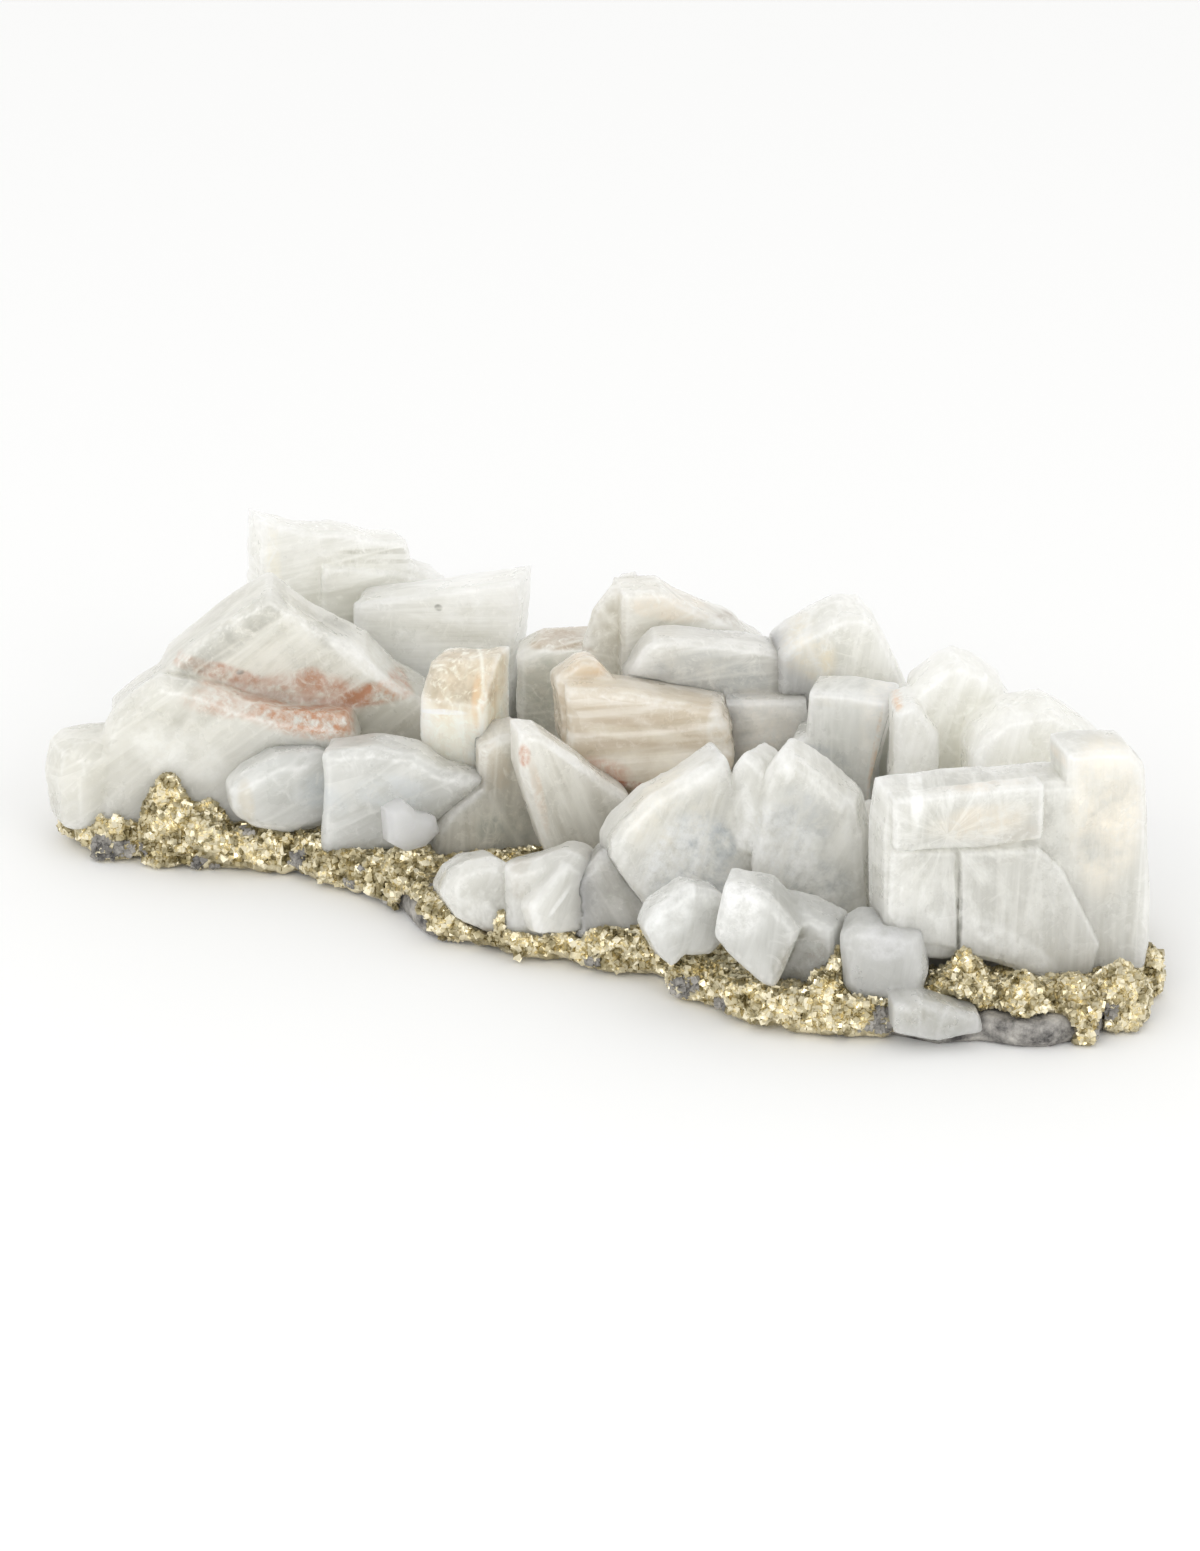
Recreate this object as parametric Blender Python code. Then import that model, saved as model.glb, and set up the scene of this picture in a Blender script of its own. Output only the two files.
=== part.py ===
"""A barite specimen: tabular barite crystals grown together on a pyrite-crusted plate of rock.

Metres, +Z up. The origin is under the middle of the specimen's bounding box, on the surface it rests on, and +X runs
along its length. Outlines are in millimetres, drawn across and up as one of two views shows them, and each corner is
carried along the line of sight to the crystal's own front face.
"""

import random
from math import cos, pi, radians, sin
from typing import NamedTuple

import bmesh
import bpy
from mathutils import Euler, Matrix, Vector, noise
from mathutils.bvhtree import BVHTree

MM = 0.001

# Driving dimensions, in millimetres unless a name says otherwise.
SPECIMEN_SHIFT = Vector((-1.75, -4.54, 0)) * MM
SIGHT_POINT = Vector((0.0, 0.0, 17.5)) * MM
EYE_DISTANCE = 900 * MM
ROCK_TOP = 3.6
CRUST_UNDERSIDE = 0.6
CRUST_FLOOR = 6.0
LOWEST_CUBE = 0.3
GROWTH_GAP = 0.3
CRYSTAL_FOOT = CRUST_FLOOR - 0.4
FOOT_STAGGER = 0.03
WELD = 1e-6
FLAT_ANGLE = radians(1)
CRUST_FLAT_ANGLE = radians(4)


class View:
    """A direction the specimen is drawn from. Its picture plane goes through SIGHT_POINT."""

    def __init__(self, turn, rise):
        turn, rise = radians(turn), radians(rise)
        sight = Vector((-sin(turn) * cos(rise), cos(turn) * cos(rise), -sin(rise)))
        self.across = Vector((cos(turn), sin(turn), 0))
        self.up = self.across.cross(sight)
        self.level = Vector((-sin(turn), cos(turn), 0))
        self.eye = SIGHT_POINT - sight * EYE_DISTANCE

    def place(self, across, back, height):
        """The point this far across and behind the sight point, and this high above the resting surface."""
        level = SIGHT_POINT + (self.across * across + self.level * back) * MM
        return Vector((level.x, level.y, height * MM))

    def cast(self, across, up, point, normal):
        """Where the line of sight through a spot of the picture plane meets the plane at point."""
        ray = SIGHT_POINT + (self.across * across + self.up * up) * MM - self.eye
        return self.eye + ray * ((point - self.eye).dot(normal) / ray.dot(normal))

    def facing(self, turn, lean):
        """Right, up and outward axes of a face turned to the viewer's right and leaning back, in degrees."""
        turn, lean = radians(turn), radians(lean)
        right = self.across * cos(turn) + self.level * sin(turn)
        outward = self.across * sin(turn) - self.level * cos(turn)
        outward = outward * cos(lean) + Vector((0, 0, sin(lean)))
        return right, outward.cross(right), outward


FRONT = View(turn=27, rise=22)
REAR = View(turn=180, rise=20)


class Facet(NamedTuple):
    """A natural face that takes off whatever lies outside it."""

    at: tuple
    turn: float = 0
    lean: float = 0


class Blade(NamedTuple):
    """One tabular crystal: its front face's outline, where that face stands and how thick the crystal is behind it."""

    outline: list
    at: tuple
    turn: float = 0
    lean: float = 0
    thick: float = 6
    chamfer: float = 0.5
    foot: float = CRYSTAL_FOOT
    facets: tuple = ()
    view: View = FRONT


RIGHT_BLOCK = [
    Blade(
        [(38, -3.2), (46, -2.1), (61, -1.2), (61, 2.5), (64.5, 3), (69.2, 3), (70.9, 1), (71.2, -10),
         (71.5, -15), (71.3, -22), (70.5, -26.5), (64, -26), (60, -27.2), (56, -26), (50, -24), (38.5, -24),
         (37.3, -19), (37.3, -8)],
        at=(55, -38), turn=14, thick=8, chamfer=0.6,
    ),
    Blade(
        [(38.3, -3.3), (54, -1.5), (57.6, -1.4), (57.4, -8.2), (50, -9.3), (38.4, -9.8)],
        at=(55, -39.5), turn=14, thick=3, chamfer=0.3,
    ),
    Blade(
        [(47, -10), (57, -9.6), (60, -12), (65, -22), (64, -25.5), (60, -27), (52, -24), (47, -23)],
        at=(55, -38.9), turn=14, thick=3, chamfer=0.3,
    ),
    Blade(
        [(38, -10), (46.2, -10), (46.4, -22.5), (40, -21.5), (37.6, -18)],
        at=(55, -38.6), turn=14, thick=3, chamfer=0.2,
    ),
]
RIGHT_FOOT = [
    Blade(
        [(31.2, -21.2), (33.2, -19.9), (36.5, -20.2), (41.5, -21), (42.5, -26), (41, -30), (36.5, -29.2),
         (33.5, -29.5), (31.8, -27.5)],
        at=(36, -45), turn=-5, thick=8, chamfer=1, foot=3.4,
    ),
    Blade(
        [(38.5, -30), (42, -29.4), (46, -30.4), (49.5, -31.4), (50, -33.6), (44, -34.6), (38.5, -33.6)],
        at=(44, -49), turn=8, thick=5, chamfer=0.6, foot=0.8,
    ),
]
CENTRE_POINTS = [
    Blade(
        [(7.4, -17.6), (6.2, -20.2), (8.2, -23.6), (9.6, -25), (11.2, -23.4), (14.5, -23.4), (18, -20),
         (16, -15.5), (12, -14.5)],
        at=(11, -36), turn=15, lean=8, thick=7, chamfer=0.8, foot=3,
    ),
    Blade(
        [(16.2, -14.6), (21.6, -15.6), (26, -20.4), (25, -22.6), (22.6, -27.6), (21.3, -27.4), (17.4, -24),
         (15, -21)],
        at=(20, -43), turn=-8, lean=5, thick=9, chamfer=0.8, foot=4,
    ),
    Blade(
        [(21, -17), (26, -18), (30.2, -20), (30.2, -28.5), (22, -28.5)],
        at=(27, -41), turn=-20, thick=7, chamfer=0.6, foot=4,
    ),
]
WHITE_CLUSTER = [
    Blade(
        [(-20, -15.5), (-19, -13), (-17, -11.6), (-13.5, -10.9), (-11.8, -12), (-10.5, -20), (-14, -21),
         (-18, -19)],
        at=(-15, -16), turn=15, lean=10, thick=8, chamfer=1.2, foot=2.5,
    ),
    Blade(
        [(-12.5, -12), (-9, -11.4), (-5, -10), (-3, -10.6), (-1, -12.8), (-0.3, -15.5), (-1.2, -19),
         (-3.5, -20.8), (-8, -21.3), (-12.5, -20.5)],
        at=(-6, -19), turn=-10, lean=12, thick=9, chamfer=1.2, foot=2.5,
    ),
    Blade(
        [(-9, -17), (-4.5, -11.4), (-1, -13), (-2, -20), (-8, -20.5)],
        at=(-5, -20.5), turn=25, lean=15, thick=4, chamfer=0.4, foot=2.5,
    ),
]
PEACH_BLOCK = [
    Blade(
        [(-23.2, 13.6), (-15.2, 13.8), (-15.4, -0.3), (-20.5, 0.3), (-22.6, 1.2), (-23.3, 5)],
        at=(-19, 8), turn=-22, thick=9, chamfer=0.3, facets=(Facet((-19, 8, 24.4), turn=-22, lean=42),),
    ),
    Blade(
        [(-21, 4), (-17.2, 4), (-17.2, -9), (-21, -9)],
        at=(-19, 11), turn=-22, thick=5, chamfer=0.3,
    ),
]
FRONT_LEFT = [
    Blade(
        [(-47.5, -2), (-45.5, 0), (-42, 2), (-36, 2.6), (-32, 1), (-30, -3), (-33, -5.5), (-37, -7.3), (-40, -7.8),
         (-44, -7.2), (-46.6, -5.8), (-47.2, -4.5)],
        at=(-40, 8), turn=14, lean=4, thick=7, chamfer=1.4, foot=4.6,
    ),
    Blade(
        [(-36, 2.5), (-30, 3.2), (-24, 2.4), (-21, 0.4), (-15.8, -0.8), (-19, -3.5), (-22, -6), (-22, -10),
         (-36, -10)],
        at=(-28, 3), turn=-8, lean=4, thick=8, chamfer=0.8,
    ),
]
CLEAR_CHIP = [
    Blade(
        [(-27.5, -4.7), (-25.2, -3.6), (-23.5, -5.2), (-21.3, -5.6), (-20.8, -7.5), (-22.5, -9.2), (-25, -9.9),
         (-27.2, -8.8)],
        at=(-24, -3), turn=20, lean=10, thick=4, chamfer=0.7,
    ),
]
CENTRE_FRONT = [
    Blade(
        [(16.3, 2.6), (12.5, 0.2), (7, -3), (3, -6.8), (1.8, -9), (2, -11), (3.8, -14), (7, -17.8), (9, -22),
         (20, -24), (20, -8), (17.6, -1)],
        at=(12, -21), turn=12, lean=10, thick=9, chamfer=0.9,
    ),
    Blade(
        [(17.2, 0.8), (18.6, 2.8), (20.3, 1.6), (21.9, -0.7), (23, -10), (17.5, -10)],
        at=(19, -21), turn=-22, lean=6, thick=8, chamfer=0.5,
    ),
    Blade(
        [(21.8, 0), (23.6, 2.4), (26, 1.2), (29, -1), (32.8, -3.9), (33.4, -8), (34, -14), (35, -22),
         (22, -24), (19.5, -12)],
        at=(27, -24), turn=-10, lean=3, thick=9, chamfer=0.9,
    ),
]
STRIPED = [
    Blade(
        [(-4.6, 11.3), (3.3, 10.6), (9.5, 9.3), (15.6, 8.4), (16.6, 5), (17, 2), (16, -5), (8, -6), (4, -2),
         (0, -1.2), (-3.8, 1)],
        at=(6, 2), turn=-4, lean=4, thick=9, chamfer=0.6,
    ),
    Blade(
        [(-5.6, 12.6), (-2.4, 15), (-0.8, 15.3), (0.8, 13.8), (3.6, 10.8), (3, 4), (-4.3, 4)],
        at=(-1, 5), turn=10, lean=12, thick=7, chamfer=0.6,
    ),
    Blade(
        [(-2, 0), (8, 1), (10, -12), (-1, -12)],
        at=(4, 4), turn=5, thick=9, chamfer=0.5,
    ),
]
NARROW_GREY = [
    Blade(
        [(-10.3, 5.3), (-7.7, 5.1), (-4.2, 2.8), (0.5, -1), (4, -3), (3, -13), (-4, -14), (-6.5, -10.5),
         (-7.3, -9), (-8.6, -4.5), (-10, 0.3)],
        at=(-5, -5), turn=14, thick=6, chamfer=0.6,
    ),
]
GREY_FOOT = [
    Blade(
        [(-3, -14), (0.6, -9.6), (3, -12), (7.5, -18), (8, -22), (2, -22), (-3, -21)],
        at=(3, -20), turn=4, lean=14, thick=7, chamfer=0.6, foot=4.5,
    ),
]
DARK_GREY = [
    Blade(
        [(-15.4, 3.3), (-13, 4.8), (-10.5, 5.3), (-8, 2), (-6, -4), (-5, -13), (-22, -13), (-21, -7),
         (-19, -4.5), (-15.5, -1.5)],
        at=(-13, 3), turn=12, thick=7, chamfer=0.6,
    ),
]
LEFT_WEDGE = [
    Blade(
        [(-43, 23.1), (-37.6, 19.2), (-30.5, 15.3), (-27, 11.8), (-22.6, 9.4), (-22, -4), (-62, -4), (-63.5, 6.8),
         (-60, 9.4), (-57.4, 11.2), (-56.3, 13.9), (-50, 18.8)],
        at=(-43, 20), turn=2, thick=10, chamfer=0.5,
    ),
    Blade(
        [(-57.5, 12.6), (-52, 11.6), (-47, 9.6), (-41, 8), (-33.5, 7.2), (-32, 4), (-34, -6), (-50, -9),
         (-66, -9), (-65, 3), (-64.6, 6.2), (-63.5, 8.4), (-60, 11)],
        at=(-50, 14), turn=-6, lean=8, thick=9, chamfer=1.6,
    ),
    Blade(
        [(-69, 2), (-67.5, 3.4), (-64, 4), (-60, 4.4), (-58, 2), (-58, -8), (-69, -8), (-69.4, -2)],
        at=(-65, 15), turn=22, thick=10, chamfer=2, foot=4.6,
    ),
]
MIDDLE_PLATES = [
    Blade(
        [(3.2, 12.4), (5.5, 15.8), (7.2, 17.4), (10, 17.5), (15, 17), (20, 16.5), (24.7, 15.4), (26, 13.8),
         (27.2, 12.6), (27.6, 11), (27.4, 8), (27.2, -8), (6, -8), (4, 6)],
        at=(16, 11), turn=3, thick=6, chamfer=0.5,
    ),
    Blade(
        [(13, 9.6), (26.8, 9.6), (26.8, 2), (27, -8), (12, -8)],
        at=(16, 7.5), turn=3, thick=5, chamfer=0.4,
    ),
]
CREAM_EDGE = [
    Blade(
        [(27.2, 10.6), (32, 10.4), (37.6, 9.4), (36.4, 5), (35, -1), (35, -14), (24, -14), (25, 4.4), (26.8, 5)],
        at=(31, 0), turn=-12, thick=7, chamfer=0.4,
    ),
]
LEFT_BACK = [
    Blade(
        [(-43.8, 33.2), (-38, 31.5), (-33.6, 31.5), (-28.5, 30.4), (-25, 30.4), (-24.7, 27.2), (-20.2, 25.8),
         (-19.6, 20), (-19.6, 4), (-43.8, 4)],
        at=(-33, 44), turn=24, thick=6, chamfer=0.4,
    ),
    Blade(
        [(-36, 27.2), (-25.5, 26.2), (-20.5, 24.8), (-20, 4), (-36, 4)],
        at=(-33, 43.4), turn=24, thick=4, chamfer=0.3,
    ),
]
LEFT_SLAB = [
    Blade(
        [(-32, 22.2), (-20, 23.9), (-10.6, 25.2), (-11.4, 16.5), (-12.3, -1), (-32, -1)],
        at=(-21, 34), turn=-15, thick=7, chamfer=0.4,
    ),
]
MIDDLE_BACK = [
    Blade(
        [(3.2, 23.5), (8.5, 23.7), (10.3, 22.4), (14.4, 20.6), (17.8, 19.4), (19.3, 18), (21.5, 16.9),
         (22.5, 16), (22.5, -7), (2.5, -7), (2.9, 14)],
        at=(12, 20), turn=12, thick=7, chamfer=0.5,
    ),
    Blade(
        [(-2.2, 17), (-0.9, 21.3), (1.2, 24), (3, 24.3), (3.8, 20), (4, -7), (-2.2, -7)],
        at=(1, 21), turn=-15, thick=7, chamfer=0.5,
    ),
    Blade(
        [(-10.8, 15.4), (-8, 16.8), (-1, 17.1), (2.4, 17.4), (2.8, -5), (-10.8, -5)],
        at=(-4, 25), turn=-5, thick=7, chamfer=0.9,
    ),
]
TALL_BACK = [
    Blade(
        [(23.4, 15.6), (25.2, 17.3), (29.2, 19.3), (31.7, 20.5), (34.7, 20.6), (36.6, 18.8), (38.8, 14.2),
         (40.6, 10), (40.8, -12), (23.4, -12)],
        at=(32, 11), turn=8, thick=9, chamfer=0.7,
    ),
]
RIGHT_BACK = [
    Blade(
        [(38.6, 8.2), (41, 9), (44, 5), (44, -17), (38, -17)],
        at=(40, -8), turn=5, thick=8, chamfer=0.5,
    ),
    Blade(
        [(41, 10.5), (44.6, 13.4), (46.6, 14.4), (48.6, 13.6), (52.4, 11.2), (53, 9.5), (54.5, 7),
         (54.5, -16), (40.5, -16)],
        at=(47, -4), turn=5, thick=8, chamfer=0.7,
    ),
    Blade(
        [(50.2, 4.5), (53.3, 7), (56.5, 7.6), (59.2, 8), (62, 6.5), (65.5, 3.7), (68, 1), (68, -19), (49, -19),
         (49, 2)],
        at=(58, -12), turn=10, thick=10, chamfer=0.7,
    ),
    Blade(
        [(38.8, -2), (40.3, 0.6), (42.3, 2.2), (43.8, 2.2), (47.5, -0.8), (51, -3), (51, -22), (38.5, -22)],
        at=(44, -20), turn=-10, thick=5, chamfer=0.4,
    ),
]
REAR_RIGHT = [
    Blade([(-70, -23), (-69, -12), (-63, -6), (-57, -9), (-54, -23)],
          at=(-62, -20), turn=22, thick=10, chamfer=0.8, view=REAR),
    Blade([(-58, -23), (-58, -8), (-53, -2), (-46, -4), (-43, -23)],
          at=(-52, -26), turn=10, thick=9, chamfer=0.7, view=REAR),
    Blade([(-47, -24), (-46, -12), (-40, -7), (-34, -9), (-31, -24)],
          at=(-39, -31), turn=-12, lean=8, thick=9, chamfer=0.5, view=REAR),
]
REAR_MIDDLE = [
    Blade([(-33, -24), (-32, -9), (-26, -4), (-18, -7), (-16, -24)],
          at=(-25, -35), turn=12, thick=9, chamfer=0.7, view=REAR),
    Blade([(-20, -24), (-18, -14), (-12, -10), (-6, -14), (-4, -24)],
          at=(-12, -36), turn=-18, lean=10, thick=9, chamfer=0.5, view=REAR),
    Blade([(-7, -24), (-6, -8), (1, -3), (8, -6), (10, -24)],
          at=(2, -35), turn=5, thick=9, chamfer=0.8, view=REAR),
    Blade([(6, -24), (8, -15), (14, -11), (20, -15), (21, -24)],
          at=(14, -37), turn=16, lean=6, thick=10, chamfer=0.5, view=REAR),
]
REAR_LEFT = [
    Blade([(18, -24), (19, -14), (26, -11), (33, -13), (35, -24)],
          at=(26, -36), turn=-8, thick=9, chamfer=0.7, view=REAR),
    Blade([(31, -24), (32, -9), (40, -5), (48, -8), (50, -24)],
          at=(40, -36), turn=12, thick=8, chamfer=0.6, view=REAR),
    Blade([(45, -24), (46, -15), (52, -11), (57, -14), (59, -24)],
          at=(52, -36), turn=-14, lean=8, thick=9, chamfer=0.5, view=REAR),
]
LEFT_END = [
    Blade([(56, -24), (57, -10), (61, -5), (66, -8), (68, -22)],
          at=(61, -29), turn=-38, thick=9, chamfer=0.8, view=REAR),
    Blade([(63, -22), (64, -12), (68, -9), (72, -12), (74, -22)],
          at=(68, -21), turn=-20, thick=10, chamfer=0.6, view=REAR),
    Blade([(62, -19), (63, -10), (67, -8), (71, -11), (72, -19)],
          at=(67, -13), turn=-55, lean=6, thick=8, chamfer=0.5, view=REAR),
]
LEFT_INNER = [
    Blade([(51, -19), (52, -7), (58, -2), (64, -6), (65, -19)],
          at=(58, -19), turn=20, thick=9, chamfer=0.6, view=REAR),
    Blade([(39, -19), (40, -9), (46, -5), (53, -8), (54, -19)],
          at=(47, -20), turn=-15, thick=8, chamfer=0.5, view=REAR),
    Blade([(23, -18), (25, -9), (31, -6), (38, -9), (41, -18)],
          at=(31, -18), turn=6, lean=5, thick=8, chamfer=0.5, view=REAR),
]
CENTRE_INNER = [
    Blade([(3, -17), (5, -10), (11, -7), (18, -10), (20, -17)],
          at=(12, -13), turn=8, lean=4, thick=9, chamfer=0.5, view=REAR),
    Blade([(-5, -16), (-4, -9), (1, -7), (5, -10), (6, -16)],
          at=(0, -8), turn=-20, thick=8, chamfer=0.5, view=REAR),
]
MIDDLE_INNER = [
    Blade([(-24, -13), (-23, -4), (-17, 0), (-10, -3), (-8, -13)],
          at=(-16, -3), turn=-18, thick=9, chamfer=0.6, view=REAR),
    Blade([(-39, -13), (-38, -2), (-31, 2), (-24, -2), (-23, -13)],
          at=(-31, -1), turn=14, lean=5, thick=9, chamfer=0.7, view=REAR),
    Blade([(-42, -12), (-41, -4), (-36, -2), (-32, -5), (-31, -12)],
          at=(-37, -7), turn=-25, thick=9, chamfer=0.5, view=REAR),
]
RIGHT_INNER = [
    Blade([(-60, -12), (-60, 1), (-55, 5), (-48, 4), (-44, -1), (-43, -12)],
          at=(-52, 3), turn=25, thick=9, chamfer=0.7, view=REAR),
    Blade([(-71, -13), (-70, -2), (-64, 3), (-58, 0), (-56, -13)],
          at=(-63, -4), turn=38, lean=4, thick=9, chamfer=0.6, view=REAR),
    Blade([(-56, -13), (-55, -4), (-50, -1), (-45, -4), (-43, -13)],
          at=(-50, -6), turn=-12, thick=9, chamfer=0.5, view=REAR),
]

# Front crystals come first: each later group is cut back where it grew against an earlier one.
CRYSTAL_GROUPS = {
    "right_block_barite": RIGHT_BLOCK,
    "right_foot_barite": RIGHT_FOOT,
    "centre_point_barite": CENTRE_POINTS,
    "white_front_cluster": WHITE_CLUSTER,
    "peach_block_barite": PEACH_BLOCK,
    "front_left_barite": FRONT_LEFT,
    "clear_chip_barite": CLEAR_CHIP,
    "centre_front_barite": CENTRE_FRONT,
    "striped_barite": STRIPED,
    "narrow_grey_barite": NARROW_GREY,
    "grey_foot_barite": GREY_FOOT,
    "dark_grey_barite": DARK_GREY,
    "left_wedge_barite": LEFT_WEDGE,
    "cream_edge_barite": CREAM_EDGE,
    "middle_plate_barite": MIDDLE_PLATES,
    "left_slab_barite": LEFT_SLAB,
    "left_back_barite": LEFT_BACK,
    "middle_back_barite": MIDDLE_BACK,
    "tall_back_barite": TALL_BACK,
    "right_back_barite": RIGHT_BACK,
    "rear_right_barite": REAR_RIGHT,
    "rear_middle_barite": REAR_MIDDLE,
    "rear_left_barite": REAR_LEFT,
    "left_end_barite": LEFT_END,
    "left_inner_barite": LEFT_INNER,
    "centre_inner_barite": CENTRE_INNER,
    "middle_inner_barite": MIDDLE_INNER,
    "right_inner_barite": RIGHT_INNER,
}

# The front feet of the rock and of the crust as the front view shows them, across and up, from left to right. Their
# rear rims are in plan, along X and Y, from right to left.
ROCK_FRONT = [
    (-69, -7.5), (-57, -9.5), (-45, -11.5), (-35, -13.5), (-27, -17.3), (-24.5, -19.8), (-22, -21.2),
    (-15, -21.8), (0, -24), (12, -27), (18, -30.5), (30, -32.5), (38, -34.2), (44, -35.2), (50, -34.8),
    (54, -35.6), (58, -35.6), (64.5, -34.2), (66.2, -32.2), (67, -29.8),
]
ROCK_REAR = [
    (70.4, 4), (69.6, 12), (65.5, 18), (58, 23.5), (44, 28.5), (28, 33.5), (8, 35.5), (-15, 35.5), (-40, 36),
    (-56, 33.5), (-65, 26), (-71, 13), (-73, 0),
]
CRUST_FRONT = [
    (-70.5, -8.5), (-65.5, -11), (-57, -11), (-52, -12.8), (-40, -13.6), (-35, -15), (-25, -18.8),
    (-21.5, -22.2), (-16, -23), (-5, -25.2), (1.5, -26.4), (7, -26.9), (13.5, -29.8), (17, -32.4),
    (26, -34.2), (34.3, -34.8), (40, -34.6), (44, -34), (50, -33.6), (58, -34), (64.5, -32.6), (66.5, -31),
    (67.6, -28.5),
]
CRUST_REAR = [
    (71.8, 6), (71, 13), (67.5, 20), (60, 26), (45, 31), (30, 36), (10, 38), (-15, 38), (-40, 38.5),
    (-58, 36), (-68, 28), (-74, 14), (-76, 0), (-75, -8),
]

OUTLINE_STEP = 7
ROUGHNESS = 0.5

# Pyrite heaps on the crust: across and behind the sight point, width, and height of the top above the base.
PYRITE_HEAPS = [
    (-64, 15.5, 8, 8.3), (-57, 13, 7.5, 11.8), (-52, 12.5, 7, 9), (-43, 11, 8, 6.8), (-34, 6, 8, 6.5),
    (-25, -1.5, 8, 8.6), (12, -32, 7, 6.5), (24, -39, 9, 7), (30, -41.5, 6, 11), (45.5, -42, 8, 10.4),
    (53, -43, 8, 8), (59, -43.5, 8, 7.8), (65, -40, 8, 8), (68, -31, 6, 8), (33, -12, 8, 9),
]
HEAP_FOOT = 3
HEAP_SWELL = 1.15
HEAP_UNEVENNESS = 0.22
HEAP_GRAIN = 1.7
CUBES_ON_RIM = 36
CUBES_ON_TOP = 8
CUBE_SIZE = (1.8, 3.8)
CUBE_PLACES = ((-76, 76), (-34, 38))
SEED = 11

# Colour as red, green and blue, then roughness, metallic and how much light goes through.
FINISHES = {
    "milky_barite": ((0.72, 0.71, 0.66), 0.3, 0, 0.25),
    "blue_white_barite": ((0.6, 0.63, 0.62), 0.25, 0, 0.3),
    "stained_barite": ((0.68, 0.62, 0.55), 0.35, 0, 0.2),
    "peach_barite": ((0.7, 0.62, 0.5), 0.35, 0, 0.15),
    "beige_barite": ((0.6, 0.54, 0.44), 0.35, 0, 0.15),
    "grey_barite": ((0.36, 0.37, 0.33), 0.3, 0, 0.25),
    "dark_barite": ((0.25, 0.26, 0.22), 0.3, 0, 0.2),
    "clear_barite": ((0.8, 0.82, 0.8), 0.1, 0, 0.7),
    "pyrite": ((0.45, 0.36, 0.16), 0.35, 1, 0),
    "matrix_rock": ((0.1, 0.095, 0.1), 0.7, 0, 0),
}
CRYSTAL_FINISHES = {
    "right_block_barite": "milky_barite",
    "right_foot_barite": "clear_barite",
    "centre_point_barite": "milky_barite",
    "white_front_cluster": "milky_barite",
    "peach_block_barite": "peach_barite",
    "front_left_barite": "blue_white_barite",
    "clear_chip_barite": "clear_barite",
    "centre_front_barite": "milky_barite",
    "striped_barite": "beige_barite",
    "narrow_grey_barite": "grey_barite",
    "grey_foot_barite": "grey_barite",
    "dark_grey_barite": "dark_barite",
    "left_wedge_barite": "stained_barite",
    "cream_edge_barite": "blue_white_barite",
    "middle_plate_barite": "blue_white_barite",
    "left_slab_barite": "milky_barite",
    "left_back_barite": "milky_barite",
    "middle_back_barite": "grey_barite",
    "tall_back_barite": "milky_barite",
    "right_back_barite": "milky_barite",
    "rear_right_barite": "blue_white_barite",
    "rear_middle_barite": "milky_barite",
    "rear_left_barite": "blue_white_barite",
    "left_end_barite": "milky_barite",
    "left_inner_barite": "blue_white_barite",
    "centre_inner_barite": "grey_barite",
    "middle_inner_barite": "grey_barite",
    "right_inner_barite": "milky_barite",
}


def main():
    clear_scene()
    specimen = bpy.data.collections.new("barite_specimen")
    bpy.context.scene.collection.children.link(specimen)
    finishes = {name: finish(name, *values) for name, values in FINISHES.items()}
    crystals = {}
    grown = {}
    for index, (name, blades) in enumerate(CRYSTAL_GROUPS.items()):
        blades = [blade._replace(foot=blade.foot - index * FOOT_STAGGER) for blade in blades]
        crystals[name] = grown_together(blades, 0)
        cut_back(crystals[name], grown.values())
        keep_largest_piece(crystals[name])
        grown[name] = grown_together(blades, GROWTH_GAP)
    rock = rock_mesh()
    crust = crust_mesh(rock, list(grown.values()))
    cut_back(rock, grown.values())
    for name, mesh in crystals.items():
        add_piece(specimen, name, mesh, finishes[CRYSTAL_FINISHES[name]])
    add_piece(specimen, "pyrite_crust", crust, finishes["pyrite"])
    add_piece(specimen, "matrix_rock", rock, finishes["matrix_rock"])


def finish(name, colour, roughness, metallic, clearness):
    material = bpy.data.materials.new(name)
    material.use_nodes = True
    material.diffuse_color = (*colour, 1)
    shader = material.node_tree.nodes["Principled BSDF"]
    shader.inputs["Base Color"].default_value = (*colour, 1)
    shader.inputs["Roughness"].default_value = roughness
    shader.inputs["Metallic"].default_value = metallic
    shader.inputs["Transmission Weight"].default_value = clearness
    return material


def add_piece(collection, name, mesh, material):
    obj = bpy.data.objects.new(name, mesh)
    mesh.name = name
    mesh.materials.clear()
    mesh.materials.append(material)
    join_flat_faces(mesh)
    mesh.transform(Matrix.Translation(SPECIMEN_SHIFT))
    collection.objects.link(obj)


def join_flat_faces(mesh, angle=FLAT_ANGLE):
    shape = bmesh.new()
    shape.from_mesh(mesh)
    bmesh.ops.dissolve_limit(shape, angle_limit=angle, verts=shape.verts, edges=shape.edges)
    shape.to_mesh(mesh)
    shape.free()


def cut_back(mesh, cutters, solver="EXACT"):
    for cutter in cutters:
        if boxes_meet(mesh, cutter):
            combine(mesh, cutter, "DIFFERENCE", solver)


def rock_mesh():
    outline = rough_outline(plan(ROCK_FRONT, ROCK_REAR), OUTLINE_STEP, ROUGHNESS, SEED)
    mesh = chamfered_plate(outline, ROCK_TOP * MM, 0.8 * MM)
    mesh.transform(Matrix.Translation((0, 0, ROCK_TOP * MM)))
    return mesh


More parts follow.
